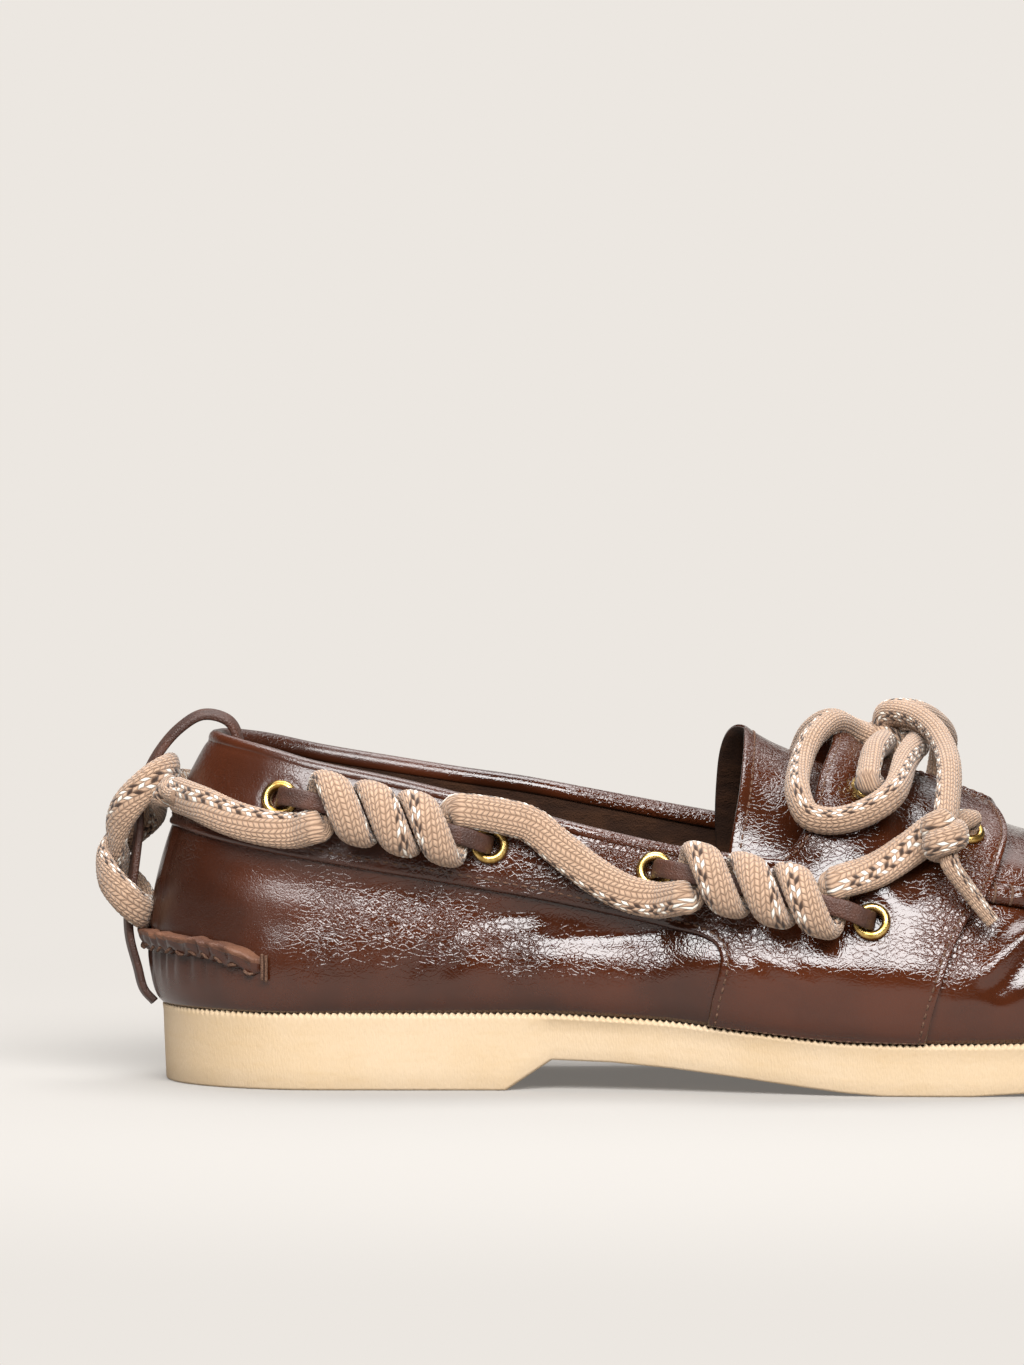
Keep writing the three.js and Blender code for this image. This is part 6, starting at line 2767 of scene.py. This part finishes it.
@dataclass
class Thongs(Part):
    """Flat leather thongs between the eyelets."""

    width: float = 4.2
    thickness: float = 1.35
    lead: float = 1.2
    bend: float = 6.0
    inside: float = -2.6
    mouth: float = 0.4
    step: float = 0.7

    def build(self) -> None:
        """Makes every thong."""
        places = {e.name: e for e in EYELETS}
        section = rounded_bar(self.width, self.thickness, 20, 6.0)
        half = self.saddlery.thong_stand_off / 2
        clears = ((0.0, self.inside), (0.0, self.mouth), (self.lead, half))
        for side in Side:
            for thong in THONGS:
                start, end = places[thong.start], places[thong.end]
                line = self.saddlery.thong_line(thong, side)
                off = self.saddlery.off
                route = [off(start.x + lead, start.z, side, clear)[0] for lead, clear in clears]
                route += [line(x) for x in np.linspace(start.x + self.bend, end.x - self.bend, 5)]
                route += [off(end.x - lead, end.z, side, clear)[0] for lead, clear in clears[::-1]]
                path = smooth_path(route, self.step)
                up = np.cross(line(1.0) - line(0.0), [0.0, side.value, 0.0])
                shape = swept(path, np.cross(unit(np.gradient(path, axis=0)), up), section)
                node = f"thong_{thong.name}_{side.label}"
                self.workshop.piece(f"leather_{node}", shape, [CUT_LEATHER], "leather", [node])


@dataclass
class HeelStrap(Part):
    """Leather strap that loops from inside the collar to the back of the sole."""

    width: float = 5.2
    thickness: float = 1.7
    twist: float = 0.2
    step: float = 0.6

    def build(self) -> None:
        """Makes the strap."""
        path = smooth_path([(s.x, 0.0, s.z) for s in STRAP_ROUTE], self.step)
        along = unit(np.gradient(path, axis=0))
        thin = np.cross(along, [0.0, math.cos(self.twist), 0.0]) + (0.0, math.sin(self.twist), 0.0)
        shape = swept(path, thin, rounded_bar(self.width, self.thickness, 20, 6.0))
        self.workshop.piece("strap_loop", shape, [CUT_LEATHER], "leather", ["heel_strap"])


@dataclass
class Outsole(Part):
    """Rubber sole with a notched top edge, heel and cut tread."""

    toe_x: float = 268.0
    inset: float = 1.2
    chamfer: float = 0.6
    taper: float = 0.7
    tooth: float = 0.5
    tooth_pitch: float = 1.5
    groove_depth: float = 0.8
    groove_pitch: float = 4.6
    groove_wave: float = 1.6
    spacing: float = 0.375
    across: int = 44

    def build(self) -> None:
        """Makes the sole from cross-sections."""
        arcs = self.form.arcs[Side.LATERAL]
        marks = np.linspace(0, arcs[1][-1], round(arcs[1][-1] / self.spacing) + 1)
        share = (self.form.station_at(marks, -1) - self.form.heel_x) / (self.form.toe_x - self.form.heel_x)
        at = share * self.toe_x
        lateral, medial = (self.edge(at, marks, side) for side in Side)
        top = self.bridge(lateral[:, -1], medial[:, -1], 3)
        floor = self.bridge(medial[:, 0], lateral[:, 0], self.across)
        floor[..., 2] += self.tread(floor)
        rings = np.concatenate([lateral, top, medial[:, ::-1], floor], axis=1)
        self.workshop.piece("sole_unit", tube(rings, weld=True), [RUBBER], "rubber", ["outsole"])

    def edge(self, at: Array, marks: Array, side: Side) -> Array:
        """One side of the sole.

        Args:
            at: Places along the sole.
            marks: Lengths along its outline.
            side: Which side.

        Returns:
            Points from the tread up to the seat.
        """
        under = np.interp(at, *zip(*UNDERSIDE))
        seat = self.form.section["seat"](at)
        wave = np.abs((marks / self.tooth_pitch) % 1.0 * 2 - 1) * 2 - 1
        tooth = self.tooth * wave
        rings = (
            (self.taper + self.chamfer + 0.6, under),
            (self.taper + self.chamfer, under + 0.03),
            (self.taper + 0.2, under + 0.2),
            (self.taper, under + self.chamfer),
            (self.taper * 0.7, under * 0.7 + seat * 0.3),
            (self.taper * 0.4, under * 0.4 + seat * 0.6),
            (0.1, under * 0.1 + seat * 0.9),
            (0.0, seat - 0.9),
            (0.02 - 0.12 * wave, seat - 0.45 + tooth * 0.4),
            (0.25 - 0.1 * wave, seat - 0.05 + tooth),
            (0.9, seat + 0.1 + tooth * 0.8),
            (2.6, seat + 0.05),
            (5.0, seat),
        )
        points = []
        for inset, z in rings:
            inset = np.broadcast_to(inset, at.shape)
            heel_x, toe_x = inset, self.toe_x - inset
            x = heel_x + (toe_x - heel_x) * at / self.toe_x
            y = self.form.outline_y(x, side.value, -self.inset - inset, heel_x, toe_x)
            points.append(np.stack([x, y, z], -1))
        return np.stack(points, 1)

    @staticmethod
    def bridge(first: Array, last: Array, count: int) -> Array:
        """Points straight across between two edges, the edges left out."""
        share = np.linspace(0, 1, count + 2)[1:-1, None]
        return first[:, None] + (last - first)[:, None] * share

    def tread(self, spot: Array) -> Array:
        """Depth of the wavy cuts across the tread.

        Args:
            spot: Points of the underside.

        Returns:
            Heights to add.
        """
        wavy = spot[..., 0] + self.groove_wave * np.sin(spot[..., 1] * 0.75)
        beside = np.abs((wavy / self.groove_pitch) % 1.0 - 0.5) * self.groove_pitch
        inner = smooth_step(np.linspace(0, 1, spot.shape[1]), 0.02, 0.06)
        inner = inner * inner[::-1]
        return self.groove_depth * smooth_step(-beside, -0.75, -0.25) * inner


@dataclass
class Footbed(Part):
    """Insole, slightly cupped towards its edges."""

    thickness: float = 3.0
    inset: float = 4.6
    cup: float = 1.6
    across: int = 40
    spacing: float = 1.6

    def build(self) -> None:
        """Makes the insole from cross-sections."""
        stations = self.form.even_stations(self.spacing)
        heel_x, toe_x = self.form.heel_x + self.inset, self.form.toe_x - self.inset
        share = (stations - self.form.heel_x) / (self.form.toe_x - self.form.heel_x)
        x = heel_x + share * (toe_x - heel_x)
        lateral, medial = (self.form.outline_y(x, side.value, -self.inset, heel_x, toe_x) for side in Side)
        way = np.linspace(-1, 1, self.across)
        y = (lateral + medial)[:, None] / 2 + (medial - lateral)[:, None] / 2 * way
        low = self.form.section["seat"](x) + self.form.gap
        rise = self.thickness + self.cup * np.abs(way) ** 5
        top = np.stack([np.broadcast_to(x[:, None], y.shape), y, low[:, None] + rise], -1)
        under = np.stack([top[..., 0], y, np.broadcast_to(low[:, None], y.shape)], -1)
        rings = np.concatenate([top, under[:, ::-1]], axis=1)
        self.workshop.piece("footbed", tube(rings, weld=True), [SUEDE], "lining", ["insole"])


def main() -> None:
    """Builds the loafer: studio and cords first, then rubber, leather and metal."""
    logging.basicConfig(level=logging.INFO, format="%(name)s %(message)s")
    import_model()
    workshop = Workshop.from_frame()
    saddlery = Saddlery(FootForm())
    Studio(workshop).build()
    leather = (Upper, Saddle, Tongue, ToeApron, HeelSeam)
    for kind in (Bow, SideCords, Outsole, Footbed, *leather, Eyelets, Thongs, HeelStrap):
        kind(workshop, saddlery).build()


if __name__ == "__main__":
    main()
